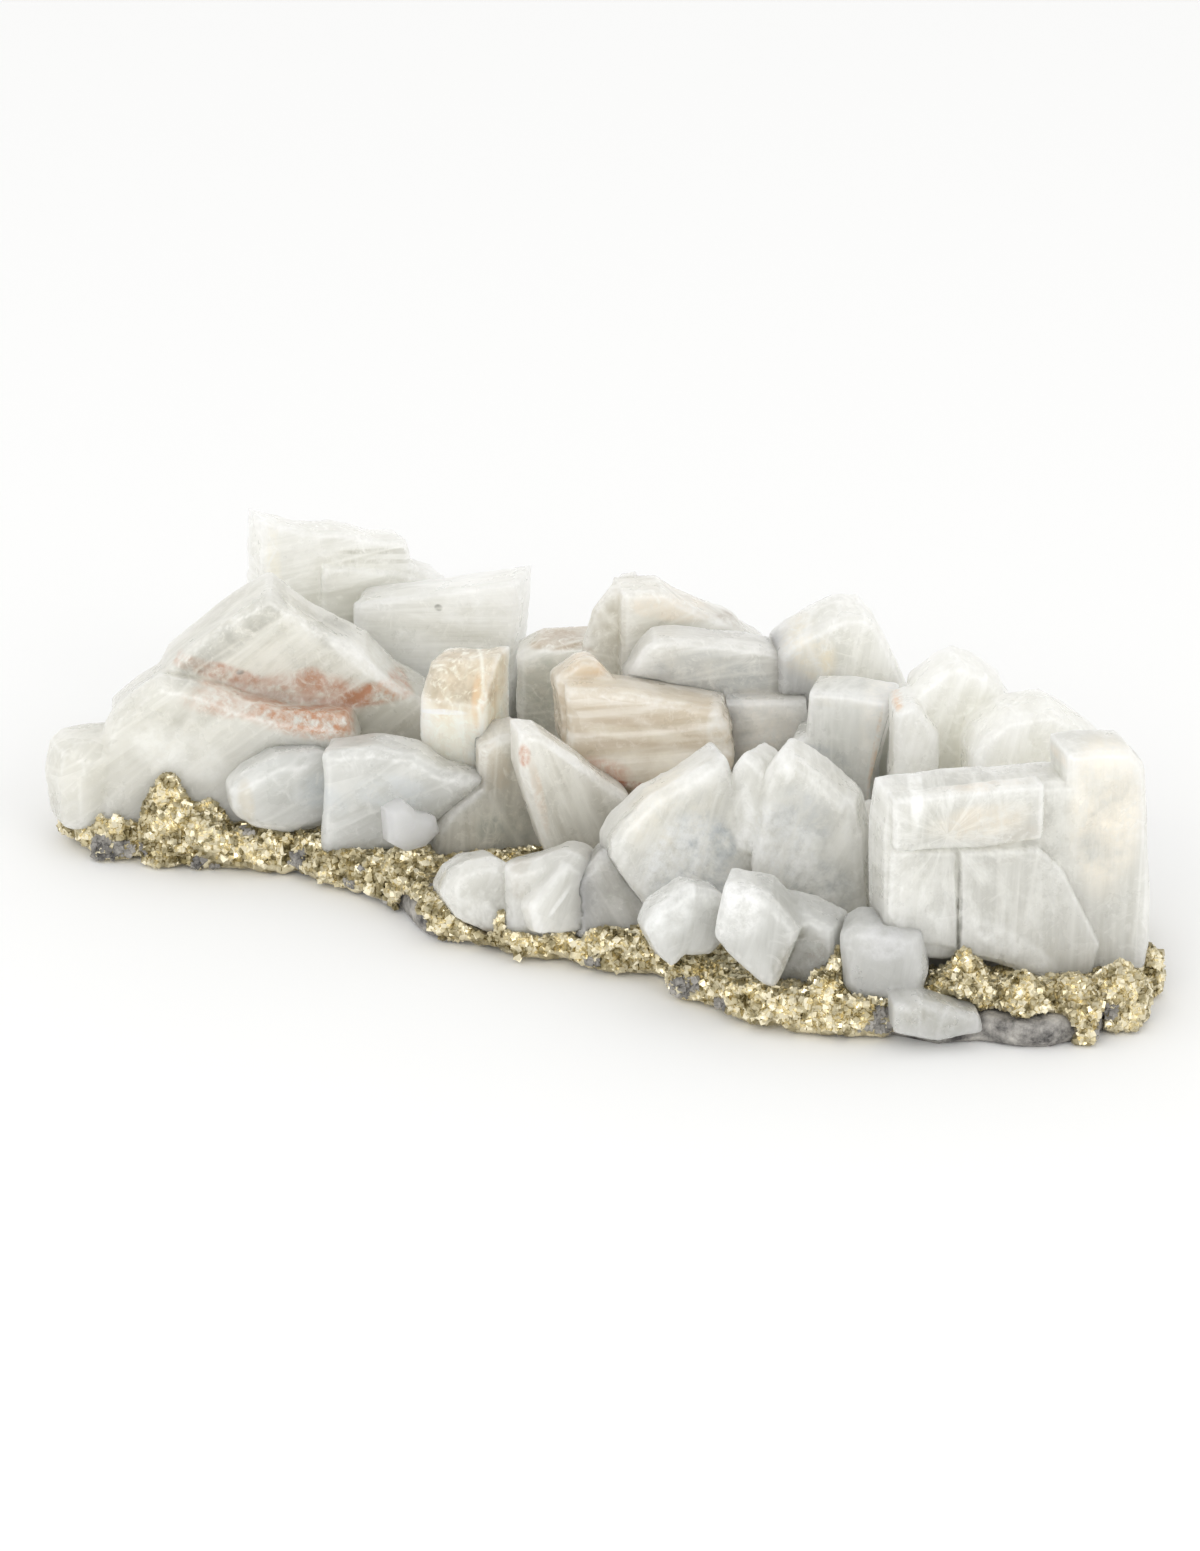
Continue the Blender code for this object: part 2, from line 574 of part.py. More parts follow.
def crust_mesh(rock, grown_crystals):
    """The pyrite layer over the rock and down its sides, with its heaps and cubes, cut where crystals grew."""
    outline = rough_outline(plan(CRUST_FRONT, CRUST_REAR), OUTLINE_STEP, ROUGHNESS, SEED + 1)
    layer = chamfered_plate(outline, (CRUST_FLOOR - CRUST_UNDERSIDE) * MM, 1.1 * MM)
    layer.transform(Matrix.Translation((0, 0, CRUST_FLOOR * MM)))
    for lump in heaps_and_cubes(grown_crystals):
        combine(layer, lump, "UNION", "MANIFOLD")
    join_flat_faces(layer, CRUST_FLAT_ANGLE)
    shape = bmesh.new()
    shape.from_mesh(rock)
    move_faces_out(shape, GROWTH_GAP * MM)
    cut_back(layer, [finished(shape), *grown_crystals], "MANIFOLD")
    trim_below(layer, LOWEST_CUBE)
    keep_largest_piece(layer)
    return layer


def heaps_and_cubes(grown_crystals):
    """Lumps and cubes of pyrite along the rim and where no crystal stands, a mesh for each."""
    lumps = [heap_mesh(index, *heap) for index, heap in enumerate(PYRITE_HEAPS)]
    crystals = [BVHTree.FromPolygons([v.co for v in m.vertices], [p.vertices for p in m.polygons])
                for m in grown_crystals]
    layer = plan(CRUST_FRONT, CRUST_REAR)
    dice = random.Random(SEED)
    for index in range(CUBES_ON_RIM):
        here, inward = spot_on_rim(layer, (index + dice.random() * 0.6) / CUBES_ON_RIM)
        place = here + inward * dice.uniform(0.4, 2.2) * MM
        place.z = dice.uniform(CRUST_UNDERSIDE + 1.4, CRUST_FLOOR - 0.4) * MM
        lumps.append(cube_mesh(place, dice))
    placed = 0
    while placed < CUBES_ON_TOP:
        place = Vector((dice.uniform(*CUBE_PLACES[0]), dice.uniform(*CUBE_PLACES[1]), 0)) * MM
        size_seed = dice.random()
        if not inside(place, layer):
            continue
        if any(tree.ray_cast(place + Vector((0, 0, 0.1)), (0, 0, -1))[0] for tree in crystals):
            continue
        place.z = (CRUST_FLOOR + size_seed * 0.8) * MM
        lumps.append(cube_mesh(place, dice))
        placed += 1
    return lumps


def heap_mesh(index, across, back, width, top):
    middle = FRONT.place(across, back, HEAP_FOOT)
    radii = Vector((width / 2, width / 2, top - HEAP_FOOT)) * MM
    shape = bmesh.new()
    for vertex in bmesh.ops.create_icosphere(shape, subdivisions=1, radius=HEAP_SWELL)["verts"]:
        swell = 1 + HEAP_UNEVENNESS * noise.noise(vertex.co * HEAP_GRAIN + Vector((index, SEED, 0)))
        vertex.co = middle + vertex.co * swell * radii
    return finished(shape)


def cube_mesh(place, dice):
    size = dice.uniform(*CUBE_SIZE) * MM
    turn = Euler([dice.uniform(0, 2 * pi) for _ in range(3)]).to_matrix().to_4x4()
    shape = bmesh.new()
    bmesh.ops.create_cube(shape, size=size, matrix=Matrix.Translation(place) @ turn)
    return finished(shape)


def finished(shape):
    """The shape as a new mesh."""
    mesh = bpy.data.meshes.new("shape")
    shape.to_mesh(mesh)
    shape.free()
    return mesh


def spot_on_rim(corners, share):
    """The point this share of the way round the outline, and the direction into it."""
    sides = list(zip(corners, corners[1:] + corners[:1]))
    left = share % 1 * sum((b - a).length for a, b in sides)
    for start, end in sides:
        if left <= (end - start).length:
            break
        left -= (end - start).length
    along = (end - start).normalized()
    return start + along * left, Vector((-along.y, along.x, 0))


def inside(place, corners):
    crossings = 0
    for a, b in zip(corners, corners[1:] + corners[:1]):
        if (a.y > place.y) != (b.y > place.y):
            crossings += place.x < a.x + (place.y - a.y) / (b.y - a.y) * (b.x - a.x)
    return crossings % 2 == 1


def plan(front, rear):
    """The outline on the resting surface, in metres: the front foot seen in the picture, then the rear rim."""
    seen = [FRONT.cast(*spot, Vector(), Vector((0, 0, 1))) for spot in front]
    return seen + [Vector((x, y, 0)) * MM for x, y in rear]


def rough_outline(corners, step, roughness, seed):
    """The outline with corners about step millimetres apart, each moved a little aside."""
    dice = random.Random(seed)
    rough = []
    for start, end in zip(corners, corners[1:] + corners[:1]):
        parts = max(1, round((end - start).length / (step * MM)))
        for i in range(parts):
            aside = Vector((dice.uniform(-1, 1), dice.uniform(-1, 1), 0)) * roughness * MM
            rough.append((start.lerp(end, i / parts) + aside).xy)
    return rough


def trim_below(mesh, height):
    shape = bmesh.new()
    block = Vector((300, 100, 10)) * MM
    place = Matrix.Translation((0, 0, height * MM - block.z / 2))
    bmesh.ops.create_cube(shape, size=1, matrix=place @ Matrix.Diagonal((*block, 1)))
    combine(mesh, finished(shape), "DIFFERENCE", "MANIFOLD")


def clear_scene():
    for obj in list(bpy.data.objects):
        bpy.data.objects.remove(obj)


def blade_mesh(blade, growth):
    """The blade as a closed mesh in world space, with every face moved out by growth millimetres."""
    view = blade.view
    right, up, outward = view.facing(blade.turn, blade.lean)
    anchor = view.place(*blade.at, SIGHT_POINT.z / MM)
    corners = [view.cast(*spot, anchor, outward) - anchor for spot in blade.outline]
    flat = [(corner.dot(right), corner.dot(up)) for corner in corners]
    mesh = chamfered_plate(flat, blade.thick * MM, blade.chamfer * MM)
    mesh.transform(Matrix.Translation(anchor) @ Matrix((right, up, outward)).transposed().to_4x4())
    shape = bmesh.new()
    shape.from_mesh(mesh)
    for facet in blade.facets:
        cut_away(shape, view.place(*facet.at), view.facing(facet.turn, facet.lean)[2])
    cut_away(shape, Vector((0, 0, blade.foot * MM)), Vector((0, 0, -1)))
    bmesh.ops.recalc_face_normals(shape, faces=shape.faces)
    if growth:
        move_faces_out(shape, growth * MM)
    shape.to_mesh(mesh)
    shape.free()
    return mesh


def chamfered_plate(corners, thickness, chamfer):
    """A plate under the XY plane with this outline, its two rims chamfered."""
    curve = bpy.data.curves.new("outline", "CURVE")
    curve.dimensions = "2D"
    curve.fill_mode = "BOTH"
    spline = curve.splines.new("POLY")
    spline.points.add(len(corners) - 1)
    for point, corner in zip(spline.points, corners):
        point.co = (*corner, 0, 1)
    spline.use_cyclic_u = True
    curve.extrude = thickness / 2 - chamfer
    curve.bevel_depth = chamfer
    curve.bevel_resolution = 0
    curve.offset = -chamfer
    obj = bpy.data.objects.new("outline", curve)
    bpy.context.scene.collection.objects.link(obj)
    mesh = bpy.data.meshes.new_from_object(obj.evaluated_get(bpy.context.evaluated_depsgraph_get()))
    bpy.data.objects.remove(obj)
    bpy.data.curves.remove(curve)
    shape = bmesh.new()
    shape.from_mesh(mesh)
    bmesh.ops.remove_doubles(shape, verts=shape.verts, dist=WELD)
    bmesh.ops.translate(shape, verts=shape.verts, vec=(0, 0, -thickness / 2))
    shape.to_mesh(mesh)
    shape.free()
    return mesh


def cut_away(shape, point, outward):
    """Takes off what lies outside the plane and closes the cut."""
    everything = [*shape.verts, *shape.edges, *shape.faces]
    cut = bmesh.ops.bisect_plane(
        shape, geom=everything, dist=WELD, plane_co=point, plane_no=outward, clear_outer=True
    )["geom_cut"]
    edges = [item for item in cut if isinstance(item, bmesh.types.BMEdge)]
    if edges:
        bmesh.ops.triangle_fill(shape, edges=edges, use_beauty=True)


def move_faces_out(shape, distance):
    for vertex, step in [(v, v.normal * min(v.calc_shell_factor(), 3) * distance) for v in shape.verts]:
        vertex.co += step


def combine(mesh, other, operation, solver="EXACT"):
    """Joins the other mesh to this one, or cuts it away."""
    pair = [bpy.data.objects.new("operand", data) for data in (mesh, other)]
    for obj in pair:
        bpy.context.scene.collection.objects.link(obj)
    boolean = pair[0].modifiers.new("boolean", "BOOLEAN")
    boolean.operation = operation
    boolean.object = pair[1]
    boolean.solver = solver
    result = bpy.data.meshes.new_from_object(pair[0].evaluated_get(bpy.context.evaluated_depsgraph_get()))
    shape = bmesh.new()
    shape.from_mesh(result)
    if solver == "EXACT":
        bmesh.ops.remove_doubles(shape, verts=shape.verts, dist=WELD)
        bmesh.ops.dissolve_degenerate(shape, edges=shape.edges, dist=WELD)
    shape.to_mesh(mesh)
    shape.free()
    for obj in pair:
        bpy.data.objects.remove(obj)
    bpy.data.meshes.remove(result)


def grown_together(blades, growth):
    """One mesh of all the blades, each grown into its neighbours."""
    whole, *others = [blade_mesh(blade, growth) for blade in blades]
    for other in others:
        combine(whole, other, "UNION")
    return whole


def boxes_meet(mesh, other):
    corners = [[v.co for v in m.vertices] for m in (mesh, other)]
    return all(
        min(c[i] for c in corners[0]) < max(c[i] for c in corners[1])
        and min(c[i] for c in corners[1]) < max(c[i] for c in corners[0])
        for i in range(3)
    )


def keep_largest_piece(mesh):
    shape = bmesh.new()
    shape.from_mesh(mesh)
    left = set(shape.verts)
    pieces = []
    while left:
        piece = set()
        edge = [left.pop()]
        while edge:
            vertex = edge.pop()
            piece.add(vertex)
            near = [e.other_vert(vertex) for e in vertex.link_edges]
            edge += [v for v in near if v in left]
            left.difference_update(near)
        pieces.append(piece)
    pieces.sort(key=len, reverse=True)
    bmesh.ops.delete(shape, geom=[v for piece in pieces[1:] for v in piece], context="VERTS")
    shape.to_mesh(mesh)
    shape.free()


main()
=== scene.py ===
"""Looks for a barite specimen: milky tabular barite crystals grown on a pyrite-crusted plate of dark rock.

Metres, +Z up, in the CAD model's own frame. A spot given as seen is in millimetres: across and up in the
picture plane of the front view, then how far behind that plane the surface stands.
"""

import random
from math import cos, exp, floor, radians, sin, sqrt

import bmesh
import bpy
from mathutils import Euler, Matrix, Vector, noise
from mathutils.bvhtree import BVHTree
from mathutils.kdtree import KDTree


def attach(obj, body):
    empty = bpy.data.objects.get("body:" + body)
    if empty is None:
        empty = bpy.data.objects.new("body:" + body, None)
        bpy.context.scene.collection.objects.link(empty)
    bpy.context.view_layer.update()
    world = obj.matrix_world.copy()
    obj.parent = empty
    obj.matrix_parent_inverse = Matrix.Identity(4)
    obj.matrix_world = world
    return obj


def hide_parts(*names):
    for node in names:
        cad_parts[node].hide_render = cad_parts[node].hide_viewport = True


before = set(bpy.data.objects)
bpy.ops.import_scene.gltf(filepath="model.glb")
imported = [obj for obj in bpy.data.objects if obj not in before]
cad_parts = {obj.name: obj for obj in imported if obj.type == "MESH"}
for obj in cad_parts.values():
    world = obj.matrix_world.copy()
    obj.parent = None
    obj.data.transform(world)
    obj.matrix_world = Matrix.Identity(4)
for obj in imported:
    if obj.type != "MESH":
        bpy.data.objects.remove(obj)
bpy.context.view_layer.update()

MM = 0.001
SEED = 7

# The camera: where it aims, which way it looks and how far off it stands.
AIM = Vector((-1.75, -4.54, 17.5)) * MM
CAMERA_TURN = radians(27)
CAMERA_RISE = radians(22)
CAMERA_DISTANCE = 900 * MM
LENS = 160.7
SENSOR = 36
NEAREST_SEEN = 10 * MM

SIGHT = Vector((-sin(CAMERA_TURN) * cos(CAMERA_RISE), cos(CAMERA_TURN) * cos(CAMERA_RISE), -sin(CAMERA_RISE)))
ACROSS = Vector((cos(CAMERA_TURN), sin(CAMERA_TURN), 0))
UP = ACROSS.cross(SIGHT)
LEVEL = Vector((-sin(CAMERA_TURN), cos(CAMERA_TURN), 0))


def seen(across, up, back):
    """The point seen at this spot of the picture on the upright plane this far behind the aim."""
    eye = AIM - SIGHT * CAMERA_DISTANCE
    ray = AIM + (ACROSS * across + UP * up) * MM - eye
    return eye + ray * ((AIM + LEVEL * back * MM - eye).dot(LEVEL) / ray.dot(LEVEL))


def added(name, data):
    """A new object of the scene, at the origin, with this data."""
    obj = bpy.data.objects.new(name, data)
    bpy.context.scene.collection.objects.link(obj)
    return obj


# Finishes. The first sizes are in millimetres, across one cloud, line, block or grain of a pattern. Then
# come how far lines and veils are drawn out, and how much the needles of a fan bend.

CLOUD = 7.692
VEIL = 3.333
GROWTH_LINE = 1.786
WISP = 2.381
CLEAVED_BLOCK = 5.882
CRACKED_BLOCK = 8.333
LINE_DRAWN_OUT = (1, 0.5, 0.04)
VEIL_DRAWN_OUT = (1, 0.6, 0.2)
FAN_BEND = 0.2
BARITE_IOR = 1.636
LIGHT_REACH = 12 * MM
PYRITE_GRAIN = 1.111
# The dark patches on the pyrite: partly tarnish, partly painted shade of the crevices.
TARNISH_AND_SHADE = 2.381
ROCK_MOTTLE = 2.857
WHITE = "fdfdf8"


def linear(hexadecimal):
    """An sRGB hex colour as linear red, green, blue and alpha."""
    parts = [int(hexadecimal[i:i + 2], 16) / 255 for i in (0, 2, 4)]
    return (*[c / 12.92 if c <= 0.04045 else ((c + 0.055) / 1.055) ** 2.4 for c in parts], 1)


def shaded(hexadecimal, light):
    """The colour made lighter or darker."""
    red, green, blue, alpha = linear(hexadecimal)
    return (min(1, red * light), min(1, green * light), min(1, blue * light), alpha)


def per_metre(size):
    """How many marks of this size in millimetres come in a metre."""
    return 1 / (size * MM)


def put(tree, kind, inputs=None, **settings):
    """Adds a node with its settings; an input is a value, a node or a node with the name of its output."""
    node = tree.nodes.new("ShaderNode" + kind)
    for name, value in settings.items():
        setattr(node, name, value)
    for name, value in (inputs or {}).items():
        socket = next(s for s in node.inputs if s.enabled and s.name == name)
        named = isinstance(value, tuple) and isinstance(value[0], bpy.types.Node)
        source, output = value if named else (value, None)
        if isinstance(source, bpy.types.Node):
            found = source.outputs[output] if output else next(s for s in source.outputs if s.enabled)
            tree.links.new(found, socket)
        else:
            socket.default_value = value
    return node


def new_material(name):
    """A material with no nodes yet, and its tree."""
    material = bpy.data.materials.new(name)
    material.use_nodes = True
    tree = material.node_tree
    tree.nodes.clear()
    return material, tree


def patched(tree, place, body, patches):
    """The body colour under patches of other colours, each broken up by specks and soft at its rim."""
    for spot, reach, roll, hue, strength, grit in patches:
        turn = Euler((0, radians(-roll), CAMERA_TURN))
        local = put(tree, "Mapping", {"Vector": (place, "Object"), "Location": spot,
                                      "Scale": Vector(reach) * MM, "Rotation": turn}, vector_type="TEXTURE")
        ball = put(tree, "TexGradient", {"Vector": local}, gradient_type="SPHERICAL")
        specks = put(tree, "TexNoise", {"Vector": (place, "Object"), "Scale": per_metre(grit), "Detail": 5,
                                        "Roughness": 0.7})
        broken = put(tree, "MapRange", {"Value": specks, "From Min": 0.34, "From Max": 0.6,
                                        "To Max": strength})
        inside = put(tree, "MapRange", {"Value": ball, "From Max": 0.45, "To Max": broken},
                     interpolation_type="SMOOTHSTEP")
        body = put(tree, "Mix", {"Factor": inside, "A": body, "B": hue}, data_type="RGBA")
    return body


def fanned(tree, place, body, fans):
    """The body colour under fans of silky white needles, which spread and bend a little from their root."""
    for spot, reach, blades, strength in fans:
        turn = Euler((radians(90), 0, CAMERA_TURN))
        local = put(tree, "Mapping", {"Vector": (place, "Object"), "Location": spot,
                                      "Scale": Vector(reach) * MM, "Rotation": turn}, vector_type="TEXTURE")
        ball = put(tree, "TexGradient", {"Vector": local}, gradient_type="SPHERICAL")
        angle = put(tree, "TexGradient", {"Vector": local}, gradient_type="RADIAL")
        bend = put(tree, "Math", {"Value": ball}, operation="MULTIPLY")
        bend.inputs[1].default_value = FAN_BEND
        rays = put(tree, "CombineXYZ", {"X": angle, "Y": bend})
        rays = put(tree, "TexNoise", {"Vector": rays, "Scale": blades, "Detail": 4, "Roughness": 0.7,
                                      "Distortion": 0.1})
        rays = put(tree, "MapRange", {"Value": rays, "From Min": 0.46, "From Max": 0.7, "To Max": strength})
        inside = put(tree, "MapRange", {"Value": ball, "From Max": 0.5, "To Max": rays},
                     interpolation_type="SMOOTHSTEP")
        body = put(tree, "Mix", {"Factor": inside, "A": body, "B": linear(WHITE)}, data_type="RGBA")
    return body


def barite(name, hues, clear, grain, streaks, patches, fans):
    """Barite crystal, grown: pale cleavage faces with cloudy veils inside, fine growth lines, edges whiter
    partly from wear and partly from a painted highlight, and light that scatters through the crystal."""
    pale, cool, deep = hues
    turn, tilt = grain
    material, tree = new_material(name)
    place = put(tree, "TexCoord")
    turned = put(tree, "Mapping", {"Vector": (place, "Object"), "Rotation": Euler((0, tilt, turn))},
                 vector_type="TEXTURE")
    lines = put(tree, "Mapping", {"Vector": turned, "Scale": LINE_DRAWN_OUT})
    silk = put(tree, "Mapping", {"Vector": turned, "Scale": VEIL_DRAWN_OUT})
    clouds = put(tree, "TexNoise", {"Vector": (place, "Object"), "Scale": per_metre(CLOUD), "Detail": 6,
                                    "Roughness": 0.62})
    veils = put(tree, "TexNoise", {"Vector": silk, "Scale": per_metre(VEIL), "Detail": 5, "Roughness": 0.62,
                                   "Distortion": 0.6})
    growth = put(tree, "TexNoise", {"Vector": lines, "Scale": per_metre(GROWTH_LINE), "Detail": 3,
                                    "Roughness": 0.55})
    wisps = put(tree, "TexNoise", {"Vector": (place, "Object"), "Scale": per_metre(WISP), "Detail": 5,
                                   "Roughness": 0.7, "Distortion": 1.5})
    cloudy = put(tree, "MapRange", {"Value": clouds, "From Min": 0.38, "From Max": 0.62})
    veiled = put(tree, "MapRange", {"Value": veils, "From Min": 0.42, "From Max": 0.66})
    lined = put(tree, "MapRange", {"Value": growth, "From Min": 0.45, "From Max": 0.62, "To Max": streaks})
    wispy = put(tree, "MapRange", {"Value": wisps, "From Min": 0.52, "From Max": 0.7, "To Max": 0.85})
    blocks = put(tree, "TexVoronoi", {"Vector": silk, "Scale": per_metre(CLEAVED_BLOCK)},
                 distance="CHEBYCHEV")
    blocks = put(tree, "SeparateColor", {"Color": (blocks, "Color")})
    blocky = put(tree, "MapRange", {"Value": blocks, "From Min": 0.3, "From Max": 1, "To Max": 0.55})
    cracks = put(tree, "TexVoronoi", {"Vector": silk, "Scale": per_metre(CRACKED_BLOCK)},
                 feature="DISTANCE_TO_EDGE")
    cracked = put(tree, "MapRange", {"Value": cracks, "From Min": 0.035, "From Max": 0, "To Max": 0.5})
    body = put(tree, "Mix", {"Factor": cloudy, "A": cool, "B": pale}, data_type="RGBA")
    for darker in (veiled, blocky, lined):
        body = put(tree, "Mix", {"Factor": darker, "A": body, "B": deep}, data_type="RGBA")
    body = fanned(tree, place, patched(tree, place, body, patches), fans)
    for whiter in (wispy, cracked):
        body = put(tree, "Mix", {"Factor": whiter, "A": body, "B": pale}, data_type="RGBA")
    # Whiter along the worn edges: partly real wear, partly a painted highlight.
    worn_and_highlit = put(tree, "Attribute", attribute_name="edge")
    worn_and_highlit = put(tree, "MapRange", {"Value": (worn_and_highlit, "Fac"), "From Min": 0.4, "From Max": 1, "To Max": 0.16})
    body = put(tree, "Mix", {"Factor": worn_and_highlit, "A": body, "B": linear(WHITE)}, data_type="RGBA")
    rough = put(tree, "MapRange", {"Value": clouds, "From Min": 0.3, "From Max": 0.7, "To Min": 0.2,
                                   "To Max": 0.4})
    bump = put(tree, "Bump", {"Height": growth, "Strength": 0.9, "Distance": 0.3 * MM})
    shader = put(tree, "BsdfPrincipled", {
        "Base Color": body, "Roughness": rough, "IOR": BARITE_IOR, "Normal": bump,
        "Transmission Weight": clear, "Subsurface Weight": 1.0, "Subsurface Radius": (1, 1, 1),
        "Subsurface Scale": LIGHT_REACH,
    })
    put(tree, "OutputMaterial", {"Surface": shader})
    return material


def pyrite(name, light, mid, dark):
    """Pyrite, grown as small cubes: pale brass metal with a painted glint on some grains, and brown on
    others, partly tarnish and partly painted shade of the crevices between grains.
    """
    material, tree = new_material(name)
    place = put(tree, "TexCoord")
    grains = put(tree, "TexVoronoi", {"Vector": (place, "Object"), "Scale": per_metre(PYRITE_GRAIN)})
    tarnish_and_shade = put(tree, "TexNoise", {"Vector": (place, "Object"), "Scale": per_metre(TARNISH_AND_SHADE), "Detail": 4,
                                     "Roughness": 0.65})
    # Darker towards the dark colour: partly tarnish, partly painted shade of the crevices between grains.
    tone = put(tree, "MapRange", {"Value": tarnish_and_shade, "From Min": 0.36, "From Max": 0.6})
    hue = put(tree, "Mix", {"Factor": tone, "A": linear(dark), "B": linear(mid)}, data_type="RGBA")
    # Painted glint: some grains lighter, towards the light colour.
    glint = put(tree, "SeparateColor", {"Color": (grains, "Color")})
    glint = put(tree, "MapRange", {"Value": glint, "From Min": 0.35, "From Max": 0.9})
    hue = put(tree, "Mix", {"Factor": glint, "A": hue, "B": linear(light)}, data_type="RGBA")
    bump = put(tree, "Bump", {"Height": tarnish_and_shade, "Strength": 0.3, "Distance": 0.15 * MM})
    rough = put(tree, "MapRange", {"Value": tarnish_and_shade, "From Min": 0.3, "From Max": 0.7, "To Min": 0.45,
                                   "To Max": 0.22})
    shader = put(tree, "BsdfPrincipled", {"Base Color": hue, "Metallic": 1.0, "Roughness": rough,
                                          "Normal": bump})
    put(tree, "OutputMaterial", {"Surface": shader})
    return material


def host_rock(name):
    """Dark fine-grained rock, broken: dull grey, mottled from near black to pale, with a rough face."""
    material, tree = new_material(name)
    place = put(tree, "TexCoord")
    mottle = put(tree, "TexNoise", {"Vector": (place, "Object"), "Scale": per_metre(ROCK_MOTTLE), "Detail": 6,
                                    "Roughness": 0.7})
    tone = put(tree, "MapRange", {"Value": mottle, "From Min": 0.35, "From Max": 0.65})
    hue = put(tree, "Mix", {"Factor": tone, "A": linear("454342"), "B": linear("bdb9b2")}, data_type="RGBA")
    bump = put(tree, "Bump", {"Height": mottle, "Strength": 0.8, "Distance": 0.4 * MM})
    shader = put(tree, "BsdfPrincipled", {"Base Color": hue, "Roughness": 0.75, "Normal": bump})
    put(tree, "OutputMaterial", {"Surface": shader})
    return material


def pale_paper(name):
    """Matt white paper, pressed: an even pale floor."""
    material, tree = new_material(name)
    shader = put(tree, "BsdfPrincipled", {"Base Color": linear("fcfcfb"), "Roughness": 0.9})
    put(tree, "OutputMaterial", {"Surface": shader})
    return material


# Shapes: the sizes of the even meshes.

WELD = 0.001 * MM
CRYSTAL_CELL = 0.4 * MM
CRUST_CELL = 0.6 * MM
ROCK_CELL = 0.8 * MM
FULLEST_GRID = 0.98
DEEPEST_GRID = 11
CELL_CHANGES = (1, 0.96, 1.05, 0.92, 1.1)

# Wear: which edges are dulled and how deep in millimetres, and the two sizes of noise that place the chips.
# Such a pair of sizes is a height and how many come in a millimetre, for the coarse one and the fine one.
SHARP_EDGE = radians(22)
LEAST_WEAR = 0.03
CHIP_DEPTH = 0.5
CHIPS = ((1, 0.3), (0.5, 1.1))
UNCHIPPED = 0.1
CHIP_CURVE = 1.3
EDGE_FADE = 0.45 * MM

# Relief: how far the skin swells over its solid, how a sheet's rim wanders and where in its width the rim
# stands, how many waves and lines come in a millimetre, and how lines are flattened and drawn out along the
# grain.
SWELL = 0.18 * MM
SHEET_WANDER = (1.2, 0.35)
RIM_START = 0.82
RIM_WIDTH = 0.18
WAVE_RATE = 0.13
LINE_RATE = 1.1
LINE_FLATNESS = 0.6
LINE_LENGTHENED = 0.07
SHEET_WOBBLE = 0.5
WOBBLE_ALONG = 0.09
WOBBLE_ACROSS = 0.05


def bumps(spot, coarse, fine):
    """The height of two sizes of bump together at this spot."""
    return sum(height * noise.noise(spot * rate) for height, rate in (coarse, fine))


def evenly_meshed(name, cell, mode):
    """A welded copy of the CAD node as a closed, even mesh of about this cell, its edges sharp or not.

    A sharp mesh is tried with slightly other cells until each of its edges has two faces.
    """
    shape = bmesh.new()
    shape.from_mesh(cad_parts[name].data)
    bmesh.ops.remove_doubles(shape, verts=shape.verts, dist=WELD)
    mesh = bpy.data.meshes.new("copy")
    shape.to_mesh(mesh)
    obj = added("copy", mesh)
    tries = [(mode, cell * change) for change in CELL_CHANGES] + [("VOXEL", cell)]
    for kind, size in tries:
        remesh = obj.modifiers.new("even", "REMESH")
        remesh.mode = kind
        remesh.voxel_size = size
        cells = max(obj.dimensions) / size
        depth = next(d for d in range(1, DEEPEST_GRID + 1) if cells / 2 ** d < FULLEST_GRID)
        remesh.octree_depth = depth
        remesh.scale = cells / 2 ** depth
        even = bpy.data.meshes.new_from_object(obj.evaluated_get(bpy.context.evaluated_depsgraph_get()))
        obj.modifiers.clear()
        shape.clear()
        shape.from_mesh(even)
        bpy.data.meshes.remove(even)
        if all(len(edge.link_faces) == 2 for edge in shape.edges):
            break
    bpy.data.objects.remove(obj)
    bpy.data.meshes.remove(mesh)
    return shape


def wear_edges(shape):
    """Dulls the outer edges a little, more where a chip is gone, and gives the points on them."""
    shape.normal_update()
    worn_and_highlit = {v for e in shape.edges if len(e.link_faces) == 2 and e.calc_face_angle_signed() > SHARP_EDGE
            for v in e.verts}
    for vertex in worn_and_highlit:
        chip = max(0, bumps(vertex.co / MM, *CHIPS) - UNCHIPPED) ** CHIP_CURVE
        vertex.co -= vertex.normal * (LEAST_WEAR + CHIP_DEPTH * chip) * MM
    bmesh.ops.smooth_vert(shape, verts=list(shape.verts), factor=0.5, use_axis_x=True, use_axis_y=True,
                          use_axis_z=True)
    return worn_and_highlit


def sheets(across, seed):
    """The height, from 0 to 1, of the growth sheet that ends at this distance across the crystal."""
    wander, rate = SHEET_WANDER
    across += wander * noise.noise(Vector((across * rate, seed, 0)))
    number = floor(across)
    ramp = min(1, max(0, (across - number - RIM_START) / RIM_WIDTH))
    here, following = (noise.cell(Vector((n + 0.5, seed + 0.5, 0.5))) for n in (number, number + 1))
    return here + (following - here) * ramp


